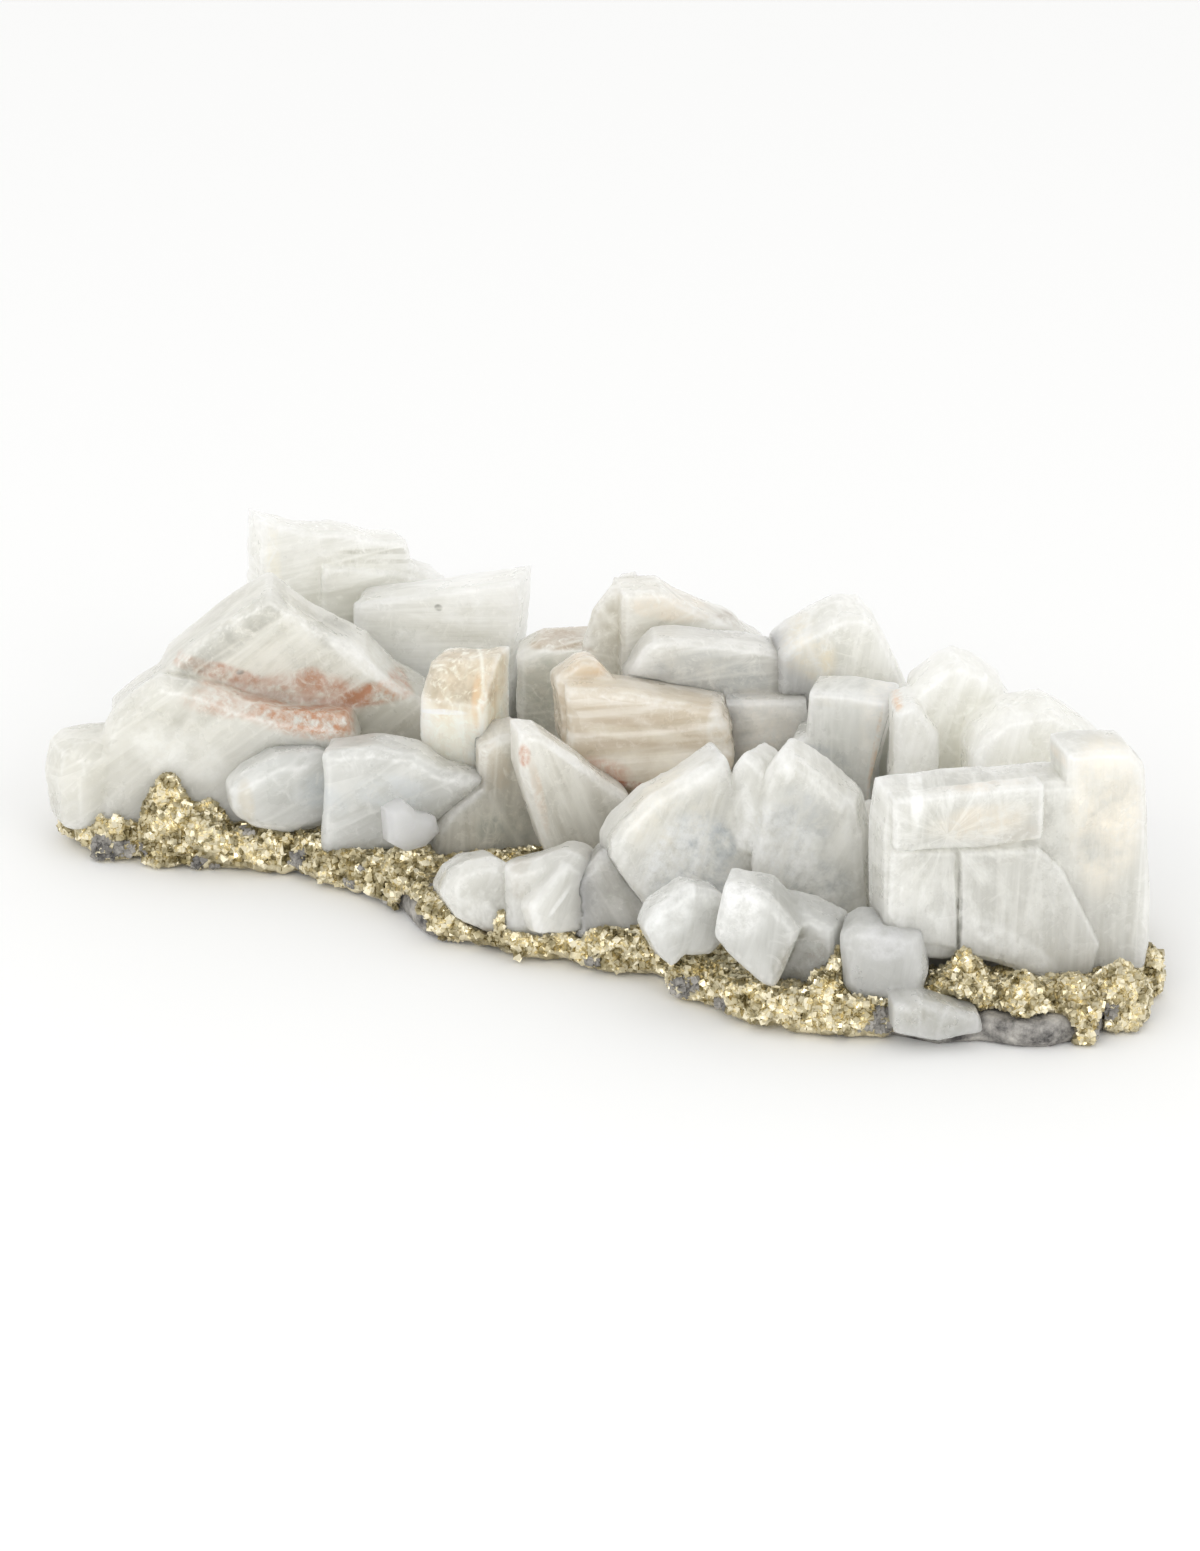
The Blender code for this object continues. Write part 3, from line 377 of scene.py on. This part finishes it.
def grow_relief(shape, grain, side, seed, waves, lines, steps, width):
    """Moves the faces out or in: broad waves, growth lines along the grain and the rims of growth sheets."""
    shape.normal_update()
    moves = []
    for vertex in shape.verts:
        spot = vertex.co / MM
        across, along = spot.dot(side), spot.dot(grain)
        drawn = Vector((across, spot.dot(grain.cross(side)) * LINE_FLATNESS, along * LINE_LENGTHENED + seed))
        wobble = SHEET_WOBBLE * noise.noise(Vector((along * WOBBLE_ALONG, across * WOBBLE_ACROSS, seed)))
        height = (waves * noise.noise(spot * WAVE_RATE) + lines * noise.noise(drawn * LINE_RATE)
                  + steps * sheets(across / width + wobble, seed))
        moves.append(vertex.normal * (height * MM + SWELL))
    for vertex, move in zip(shape.verts, moves):
        vertex.co += move


def edge_nearness(mesh, worn_spots):
    """An attribute that is 1 on a worn edge and fades to 0 over the next millimetres."""
    tree = KDTree(len(worn_spots))
    for index, spot in enumerate(worn_spots):
        tree.insert(spot, index)
    tree.balance()
    near = mesh.attributes.new("edge", "FLOAT", "POINT")
    values = [exp(-(tree.find(v.co)[2] or 0) / EDGE_FADE) for v in mesh.vertices]
    near.data.foreach_set("value", values)


def piece(name, shape, material, node=None, crease=180):
    """A finished piece of the specimen: it rides on the specimen's one body and wears the material."""
    mesh = bpy.data.meshes.new(name)
    shape.to_mesh(mesh)
    shape.free()
    mesh.polygons.foreach_set("use_smooth", [True] * len(mesh.polygons))
    mesh.set_sharp_from_angle(angle=radians(crease))
    mesh.materials.append(material)
    obj = added(name, mesh)
    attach(obj, "root")
    if node:
        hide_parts(node)
    return obj


# Crystals. Each palette is a crystal's pale, cool and deep colour.

MILKY = ("f7f6ef", "ecebe4", "dcdbd3")
BLUISH = ("edede8", "e0e1dc", "cecec8")
STAINED = ("f3f1e8", "e8e7de", "d8d6cb")
PEACH = ("f3eadb", "ebe1d0", "dfd1bc")
BEIGE = ("f4ecdf", "e8decd", "d6c8b2")
SMOKY = ("ecebe4", "dedcd5", "cac8c0")
GREY = ("efede4", "e2e0d7", "cecbc1")
DARK = ("e4e1d6", "d2cfc4", "bbb8ad")
HAZY = ("e6e6e1", "dadad5", "cbcbc5")
CLEAR = ("f8f9f4", "efefec", "e2e3e0")
RUST = "c08a66"
SHADE = "a8a69c"

# Each crystal: its colours and how light they are, partly its own tone and partly painted light and shade
# that make up for how light falls on it, how much light goes straight through, the record's slot, and the
# turn and tilt of its growth lines. Then how strong its streaks are, and in millimetres how high its waves,
# lines and sheets stand and how far apart the sheets end.
CRYSTALS = {
    "right_block_barite": (MILKY, 0.76, 0, "milky_barite", (41, 2), 0.9, (0.2, 0.1, 0.1, 1.6)),
    "right_foot_barite": (HAZY, 0.88, 0.2, "clear_barite", (27, 10), 0.2, (0.3, 0.06, 0.05, 3)),
    "centre_point_barite": (HAZY, 0.72, 0, "milky_barite", (27, 12), 0.3, (0.3, 0.08, 0.08, 3)),
    "white_front_cluster": (MILKY, 0.74, 0, "milky_barite", (27, 30), 0.3, (0.5, 0.1, 0.1, 2.5)),
    # The peach block is lighter all over: painted light for its front, which lies in shade.
    "peach_block_barite": (PEACH, 1.2, 0, "peach_barite", (5, 0), 0.2, (0.1, 0.05, 0.06, 2)),
    "front_left_barite": (BLUISH, 0.8, 0, "blue_white_barite", (30, 60), 0.2, (0.5, 0.1, 0.06, 3)),
    "clear_chip_barite": (CLEAR, 1.2, 0.4, "clear_barite", (27, 20), 0.2, (0.3, 0.05, 0.05, 3)),
    "centre_front_barite": (MILKY, 0.8, 0, "milky_barite", (35, 25), 0.7, (0.4, 0.12, 0.1, 3)),
    "striped_barite": (BEIGE, 0.84, 0, "beige_barite", (23, 84), 0.9, (0.2, 0.14, 0.16, 1.5)),
    "narrow_grey_barite": (GREY, 0.88, 0, "grey_barite", (40, -22), 0.2, (0.2, 0.08, 0.08, 2.5)),
    "grey_foot_barite": (GREY, 0.68, 0, "grey_barite", (30, -22), 0.2, (0.3, 0.08, 0.08, 2.5)),
    "dark_grey_barite": (DARK, 0.98, 0, "dark_barite", (39, 0), 0.15, (0.3, 0.08, 0.08, 3)),
    "left_wedge_barite": (STAINED, 0.82, 0, "stained_barite", (25, 52), 0.3, (0.4, 0.08, 0.07, 3.5)),
    "cream_edge_barite": (BLUISH, 0.9, 0, "blue_white_barite", (15, 2), 0.3, (0.2, 0.06, 0.1, 3)),
    "middle_plate_barite": (SMOKY, 0.9, 0, "blue_white_barite", (30, 82), 0.6, (0.2, 0.08, 0.1, 2.5)),
    "left_slab_barite": (MILKY, 0.94, 0, "milky_barite", (12, 84), 0.5, (0.2, 0.06, 0.08, 4)),
    "left_back_barite": (MILKY, 0.94, 0, "milky_barite", (51, 86), 0.6, (0.2, 0.06, 0.14, 2.6)),
    "middle_back_barite": (GREY, 0.95, 0, "grey_barite", (39, 78), 0.3, (0.2, 0.08, 0.1, 2.5)),
    "tall_back_barite": (MILKY, 0.92, 0, "milky_barite", (35, 8), 0.7, (0.3, 0.1, 0.1, 3)),
    "right_back_barite": (MILKY, 1.0, 0, "milky_barite", (32, 15), 0.3, (0.3, 0.08, 0.1, 3)),
    "rear_right_barite": (BLUISH, 0.9, 0, "blue_white_barite", (10, 5), 0.4, (0.3, 0.08, 0.1, 3)),
    "rear_middle_barite": (MILKY, 0.9, 0, "milky_barite", (5, 15), 0.4, (0.3, 0.08, 0.1, 2.6)),
    "rear_left_barite": (BLUISH, 0.9, 0, "blue_white_barite", (0, -10), 0.4, (0.3, 0.08, 0.1, 3)),
    "left_end_barite": (MILKY, 0.9, 0, "milky_barite", (60, 10), 0.4, (0.3, 0.08, 0.1, 3)),
    "left_inner_barite": (BLUISH, 0.9, 0, "blue_white_barite", (0, 5), 0.4, (0.3, 0.08, 0.1, 3)),
    "centre_inner_barite": (GREY, 0.9, 0, "grey_barite", (0, 10), 0.4, (0.3, 0.08, 0.1, 3)),
    "middle_inner_barite": (GREY, 0.9, 0, "grey_barite", (0, -10), 0.4, (0.3, 0.08, 0.1, 3)),
    "right_inner_barite": (MILKY, 0.9, 0, "milky_barite", (0, 5), 0.4, (0.3, 0.08, 0.1, 3)),
}

# Patches of colour on a crystal: the spot seen, its reach across, back and up in millimetres, its roll,
# colour and strength, and how coarse in millimetres the specks are that break it up.
PATCHES = {
    "left_wedge_barite": [
        ((-37, 8.6, 14), (12, 10, 4.4), -6, RUST, 0.95, 1.6),
        ((-29, 10.3, 19), (11, 12, 2), 10, RUST, 0.9, 1.8),
        ((-38, 11.5, 18), (3, 9, 2.5), 30, RUST, 0.7, 1.5),
        ((-50, 12.8, 17), (9, 9, 1.6), -16, RUST, 0.7, 1.5),
        ((-46, 9.5, 14), (10, 9, 3), 0, RUST, 0.45, 1.2),
        # Painted shade on the top-left bevel band of the wedge.
        ((-47, 18.6, 20), (15, 12, 2.4), 38, "a9a89f", 0.6, 9),
        ((-34.5, 18.6, 20), (5.5, 12, 3.2), -45, "a9a89f", 0.7, 9),
        ((-47, 11.8, 15), (0.9, 9, 0.6), 0, "6f6f68", 1.0, 9),
        ((-55, 3, 14), (9, 12, 4), -20, WHITE, 0.6, 6),
        ((-30, 14, 20), (8, 12, 1.6), -38, WHITE, 0.7, 6),
    ],
    "left_back_barite": [
        ((-42.3, 27, 44), (1.5, 14, 14), 0, "f7f0dc", 0.7, 5),
        ((-28, 28.6, 44), (8, 14, 0.5), -8, SHADE, 0.5, 3),
        ((-27, 27.2, 44), (8, 14, 0.4), -8, SHADE, 0.4, 3),
    ],
    "left_slab_barite": [
        ((-21, 21.8, 34), (0.7, 12, 0.6), 0, "6f6f68", 1.0, 9),
        ((-26, 15, 34), (7, 14, 6), 0, "f6f6f0", 0.8, 6),
        ((-15, 22, 34), (8, 12, 3), 8, WHITE, 0.5, 6),
    ],
    "peach_block_barite": [
        # Painted shade: darkens the peach block's top, which faces the light from above.
        ((-18, 14, 10), (9, 12, 7), 0, "9c8f78", 0.93, 16),
        ((-15.6, 9, 8), (1.4, 12, 5), 0, "d9b994", 0.8, 4),
        ((-20.5, 8.1, 8), (4, 12, 0.5), 5, WHITE, 0.7, 4),
    ],
    "striped_barite": [
        ((-1, 13.5, 5), (4, 12, 2), 0, "d3b38c", 0.6, 4),
        ((5, 9.8, 2), (11, 12, 0.7), -6, "efe8d8", 0.6, 4),
        ((5, 5.3, 2), (9, 12, 1.2), -4, "efe8d8", 0.6, 4),
        ((6, 1, 2), (10, 12, 3.5), 0, "f6efe0", 0.8, 9),
        ((3, -1.3, 2), (5, 12, 0.9), -3, "b0603c", 0.9, 1.5),
        ((0, 0.6, 2), (5, 12, 2.2), -10, "cf9a7a", 0.7, 3),
        ((15, 5, 2), (1.5, 12, 5), 0, WHITE, 0.5, 4),
    ],
    "middle_back_barite": [
        ((-6, 17.2, 25), (7, 14, 1.4), 3, "b09c84", 0.8, 5),
        ((-8, 11, 25), (4, 14, 7), 0, "b9bdb4", 0.9, 6),
        ((1, 20, 21), (3.4, 12, 7), 0, "c4c0b4", 0.9, 7),
        ((9, 22, 20), (8, 14, 2.2), -12, "e8dccb", 0.7, 5),
        ((17.5, 19.6, 20), (5, 14, 0.8), -26, "8a7a68", 0.8, 4),
    ],
    "middle_plate_barite": [
        ((14, 12, 11), (12, 12, 6), -4, "b9bbb9", 0.8, 4),
        # Painted light: lightens the plate where its neighbours shade it.
        ((20, 6, 7), (8, 12, 5), 0, "fbf4e8", 0.9, 6),
    ],
    "cream_edge_barite": [
        # The cream band, made near white: partly its own colour, partly painted light where it lies in shade.
        ((36.5, 5, 0), (3.4, 12, 12), 0, "fdf8ec", 1.0, 9),
        ((30, 9.5, 0), (7, 12, 1.0), -2, "d5d0c2", 0.6, 5),
        ((30, 1.5, 0), (4.5, 12, 2.6), -30, "b4b8bb", 0.8, 6),
        ((35.6, 3, 0), (0.45, 12, 8), -8, "dcae80", 0.9, 3),
    ],
    "right_back_barite": [
        ((38, 9.5, -8), (2, 12, 2), 0, "d39a68", 0.8, 1.5),
        # Painted shade: a small crystal that lies in shadow, and darker lines along its two rims.
        ((46.5, 3.2, -20), (5, 9, 0.5), -35, "8f8674", 0.9, 4),
        ((41, 2.2, -20), (3, 9, 0.5), 40, "8f8674", 0.8, 4),
        ((43, 1.5, -20), (6, 9, 3.4), 0, "a9a292", 0.8, 5),
    ],
    "centre_front_barite": [
        ((9, -4, -21), (8, 12, 6), 30, "f4efe2", 0.8, 6),
        ((14, -9, -22), (6, 12, 4), -40, "c3c8ca", 0.9, 2),
        ((13, -16, -24), (8, 12, 5), 0, "c3c8cc", 0.7, 4),
        ((19.5, -6, -21), (1, 12, 6), 8, WHITE, 0.9, 2.5),
        ((12.5, -14.2, -24), (2.5, 9, 0.5), -35, WHITE, 1.0, 5),
        ((26, -6, -24), (5, 12, 6), 20, "d6d8d8", 0.7, 5),
        ((28, -15, -24), (6, 12, 6), 0, "b9bcbb", 0.8, 5),
        ((12, 2, -21), (5, 12, 6), 0, WHITE, 0.6, 3),
        ((24, -9, -24), (5, 12, 7), 30, "f2f3f1", 0.9, 1.6),
        ((10, -10, -21), (5, 12, 7), -40, "f2f3f1", 0.9, 1.4),
    ],
    "white_front_cluster": [
        ((-5.5, -15, -19), (3.4, 9, 0.5), 50, WHITE, 1.0, 5),
        ((-1.5, -17, -19), (0.9, 9, 2), 0, WHITE, 0.9, 5),
        ((-10, -13.5, -19), (2.5, 12, 4), 20, "c6c0b4", 0.7, 4),
        ((-16, -20, -16), (4, 9, 1.2), 0, "e6c9a8", 0.7, 2),
    ],
    "right_block_barite": [
        ((66, -5, -38), (6, 12, 14), 0, "fdf5e6", 0.8, 8),
        ((52, 0.6, -38), (12, 14, 1.6), 3, "efe0cc", 0.7, 6),
        ((49, -5, -39), (8, 12, 3), 5, "e9e1d2", 0.7, 6),
        ((53, -7.5, -39), (6, 12, 2), 8, "d2ccc0", 0.5, 5),
        # Painted shade in the crack.
        ((46.6, -16.5, -38), (0.5, 9, 9), 0, "8f8d84", 0.9, 9),
        # Painted shade along the underside of the raised step.
        ((56, -10, -38), (12, 9, 0.4), 3, "c9c6bd", 0.7, 9),
        ((62.3, -16, -38), (0.6, 9, 7), 29, "d2d0ca", 0.8, 9),
        ((42, -14, -38), (5, 12, 10), 0, WHITE, 0.5, 4),
        ((53, -21, -38), (9, 12, 2), -35, WHITE, 1.0, 5),
        ((41, -2, -38), (1.2, 12, 5), 0, WHITE, 0.9, 4),
    ],
    "dark_grey_barite": [
        ((-14, 1, 3), (3, 12, 5), 20, "c4b8a4", 0.7, 5),
        ((-12, -7, 3), (5, 12, 4), 0, "a9aca4", 0.9, 4),
    ],
    "narrow_grey_barite": [
        ((-9.8, 3, -5), (1, 9, 2), 0, "b5714a", 0.7, 1),
        ((-8, -2, -5), (0.9, 9, 7), 12, "d9c9b8", 0.8, 5),
        ((-3, 1.5, -5), (6, 9, 0.8), -38, WHITE, 0.6, 5),
    ],
    "front_left_barite": [
        ((-42, -6.8, 8), (8, 12, 1), -12, WHITE, 1.0, 6),
        ((-36, -2, 8), (5, 12, 3), 0, "cdd1d1", 0.8, 3),
        ((-27, -2, 3), (6, 12, 3), 0, "dcdfdf", 0.7, 3),
        ((-46, -3, 8), (1.6, 12, 4), 0, "cfc8b8", 0.7, 4),
    ],
    "tall_back_barite": [
        ((27, 16, 11), (4, 12, 5), 40, "f6e9cf", 0.7, 5),
    ],
    "right_foot_barite": [
        ((37, -22, -45), (4, 12, 3), 0, "fafaf8", 0.8, 3),
        ((44, -31, -49), (6, 12, 3), 0, "b4b2a8", 0.8, 3),
    ],
    "centre_point_barite": [
        ((8, -17, -36), (5, 12, 5), 0, "f0f1ee", 0.8, 3),
        ((17, -17, -43), (5, 12, 6), 20, "f4f4f1", 0.9, 2),
        ((26, -24, -41), (5, 12, 5), 0, "9a968a", 0.8, 3),
    ],
    "grey_foot_barite": [
        ((3, -13, -20), (4, 12, 4), 0, "a9a69c", 0.7, 5),
    ],
}

# Fans of silky needles on a crystal: the root seen, their reach in millimetres, how many blades and how
# strong.
FANS = {
    "centre_front_barite": [
        ((21, -17, -22), (17, 18, 20), 16, 0.75),
        ((28, 8, -22), (14, 17, 20), 14, 0.5),
    ],
    "right_block_barite": [
        ((45, -6, -38), (24, 24, 20), 24, 0.4),
    ],
    "white_front_cluster": [
        ((-13, -25, -18), (16, 17, 20), 12, 0.8),
    ],
    "centre_point_barite": [
        ((12, -8, -40), (14, 16, 20), 14, 0.7),
    ],
}


def grain_axes(turn, tilt):
    """The directions along and across growth lines that lean by tilt in an upright face with this turn."""
    level = Matrix.Rotation(radians(turn), 3, "Z") @ Vector((1, 0, 0))
    lean = radians(tilt)
    return level * sin(lean) + Vector((0, 0, cos(lean))), level * cos(lean) - Vector((0, 0, sin(lean)))


def make_crystals():
    """Every crystal: its solid's own skin with worn edges and growth relief, in its own barite."""
    for seed, (name, values) in enumerate(CRYSTALS.items()):
        hues, light, clear, slot, (turn, tilt), streaks, relief = values
        shape = evenly_meshed(name, CRYSTAL_CELL, "SHARP")
        worn_and_highlit = wear_edges(shape)
        grow_relief(shape, *grain_axes(turn, tilt), seed, *relief)
        spots = [v.co.copy() for v in worn_and_highlit]
        patches = [(seen(*spot), reach, roll, shaded(hue, sqrt(light)), *rest)
                   for spot, reach, roll, hue, *rest in PATCHES.get(name, ())]
        fans = [(seen(*spot), *rest) for spot, *rest in FANS.get(name, ())]
        material = barite(name.replace("_", " "), [shaded(hue, light) for hue in hues], clear,
                          (radians(turn), radians(tilt)), streaks, patches, fans)
        crystal = piece(name + "_crystal", shape, material, name)
        edge_nearness(crystal.data, spots)


# Pyrite and rock: two sizes of knob on the crust and of break on the rock, then the grains on the crust. A
# grain keeps clear of the crystals and of faces that look down. Rock shows where noise passes BARE_ROCK,
# less with height.

KNOBS = ((0.55, 0.35), (0.25, 0.9))
BREAKS = ((0.35, 0.35), (0.2, 1.1))
LOWEST = 0.2 * MM
GRAIN_SIZE = (0.35, 0.95)
GRAIN_SHARE = 0.95
GRAIN_SUNK = 0.1 * MM
GRAIN_GROUPS = 4
BATCH = 400
FINEST_GRAIN = 0.75
HALF_DIAGONAL = 0.87
WIDEST_TURN = 6
CLEARANCE = 0.45 * MM
UNDERSIDE = -0.4
ROCK_UNDERSIDE = -0.5
BARE_RATE = 0.22
BARE_ROCK = 0.22
BARE_FALL = 0.05
GRAIN_CREASE = 30


def crystal_walls():
    """Everything but the crust, to tell how near a spot is to another piece."""
    others = bmesh.new()
    for name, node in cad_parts.items():
        if name != "pyrite_crust":
            others.from_mesh(node.data)
    walls = BVHTree.FromBMesh(others)
    others.free()
    return walls


def strewn_cubes(spots, dice):
    """Small cubes at these spots, at all angles. They are joined in batches, which is quicker."""
    whole = bmesh.new()
    for start in range(0, len(spots), BATCH):
        part = bmesh.new()
        for spot in spots[start:start + BATCH]:
            size = dice.uniform(*GRAIN_SIZE) * MM * (FINEST_GRAIN + (1 - FINEST_GRAIN) * dice.random())
            turn = Euler([dice.uniform(0, WIDEST_TURN) for _ in range(3)]).to_matrix().to_4x4()
            place = Vector((spot.x, spot.y, max(spot.z, LOWEST + size * HALF_DIAGONAL)))
            bmesh.ops.create_cube(part, size=size, matrix=Matrix.Translation(place) @ turn)
        mesh = bpy.data.meshes.new("batch")
        part.to_mesh(mesh)
        part.free()
        whole.from_mesh(mesh)
        bpy.data.meshes.remove(mesh)
    return whole


def make_crust(rock):
    """The crust with a knobbly surface, its grains of pyrite, and rock crumbs where the crust is bare."""
    dice = random.Random(SEED)
    # A painted glint colour, then brass, then a dark brown that is partly tarnish and partly painted crevice
    # shade.
    brass = pyrite("crystalline pyrite", "f7eed2", "d6caa6", "7d7250")
    shape = evenly_meshed("pyrite_crust", CRUST_CELL, "VOXEL")
    shape.normal_update()
    for vertex in shape.verts:
        vertex.co += vertex.normal * bumps(vertex.co / MM, *KNOBS) * MM
        vertex.co.z = max(vertex.co.z, LOWEST)
    shape.normal_update()
    walls = crystal_walls()
    grains, crumbs = [], []
    for face in shape.faces:
        middle = face.calc_center_median()
        hidden = face.normal.z < UNDERSIDE or walls.find_nearest(middle, CLEARANCE)[0]
        if hidden or dice.random() > GRAIN_SHARE:
            continue
        bare = noise.noise(middle / MM * BARE_RATE + Vector((SEED, 0, 0))) - BARE_FALL * middle.z / MM
        (crumbs if bare > BARE_ROCK else grains).append(middle - face.normal * GRAIN_SUNK)
    piece("pyrite_crust_skin", shape, brass, "pyrite_crust")
    for number in range(GRAIN_GROUPS):
        cubes = strewn_cubes(grains[number::GRAIN_GROUPS], dice)
        piece(f"pyrite_grains_{number + 1}", cubes, brass, crease=GRAIN_CREASE)
    piece("rock_crumbs", strewn_cubes(crumbs, dice), rock, crease=GRAIN_CREASE)


def make_rock(rock):
    """The rock with a broken surface, left flat underneath."""
    shape = evenly_meshed("matrix_rock", ROCK_CELL, "VOXEL")
    shape.normal_update()
    for vertex in shape.verts:
        rough = bumps(vertex.co / MM, *BREAKS)
        if vertex.normal.z > ROCK_UNDERSIDE:
            vertex.co += vertex.normal * rough * MM
        vertex.co.z = max(vertex.co.z, 0)
    piece("matrix_rock_skin", shape, rock, "matrix_rock")


# The studio: the floor's half width in metres, the light of the room at the horizon and overhead, and each
# lamp's place across, back and up in metres, its width and its power.

FLOOR_REACH = 4
HORIZON_LIGHT = 1.22
OVERHEAD_LIGHT = 0.77
LAMPS = (((-0.4, -1.1, 0.75), 0.6, 3.2), ((0.6, -1.0, 0.7), 0.5, 1.5))


def make_floor():
    """A wide plain floor."""
    mesh = bpy.data.meshes.new("floor")
    shape = bmesh.new()
    bmesh.ops.create_grid(shape, x_segments=1, y_segments=1, size=FLOOR_REACH)
    shape.to_mesh(mesh)
    shape.free()
    mesh.materials.append(pale_paper("pale paper"))
    added("floor", mesh)


def make_light():
    """A soft bright room and two soft boxes in front."""
    world = bpy.data.worlds.new("soft room")
    world.use_nodes = True
    tree = world.node_tree
    tree.nodes.clear()
    direction = put(tree, "SeparateXYZ", {"Vector": (put(tree, "TexCoord"), "Generated")})
    glow = put(tree, "MapRange", {"Value": (direction, "Z"), "To Min": HORIZON_LIGHT,
                                  "To Max": OVERHEAD_LIGHT})
    put(tree, "OutputWorld", {"Surface": put(tree, "Background", {"Color": (1, 1, 1, 1), "Strength": glow})})
    bpy.context.scene.world = world
    for (across, back, up), width, power in LAMPS:
        light = bpy.data.lights.new("soft box", "AREA")
        light.shape = "SQUARE"
        light.size = width
        light.energy = power
        lamp = added("soft box", light)
        lamp.location = ACROSS * across + LEVEL * back + Vector((0, 0, up))
        lamp.rotation_euler = (lamp.location - AIM).to_track_quat("Z", "Y").to_euler()
    bpy.context.scene.view_settings.view_transform = "Standard"


def make_camera():
    """A long lens that looks down at the front."""
    data = bpy.data.cameras.new("camera")
    data.lens = LENS
    data.sensor_width = SENSOR
    data.clip_start = NEAREST_SEEN
    camera = added("camera", data)
    axes = Matrix((ACROSS, UP, -SIGHT)).transposed().to_4x4()
    camera.matrix_world = Matrix.Translation(AIM - SIGHT * CAMERA_DISTANCE) @ axes
    bpy.context.scene.camera = camera


make_floor()
make_light()
make_camera()
make_crystals()
rock = host_rock("host rock")
make_rock(rock)
make_crust(rock)
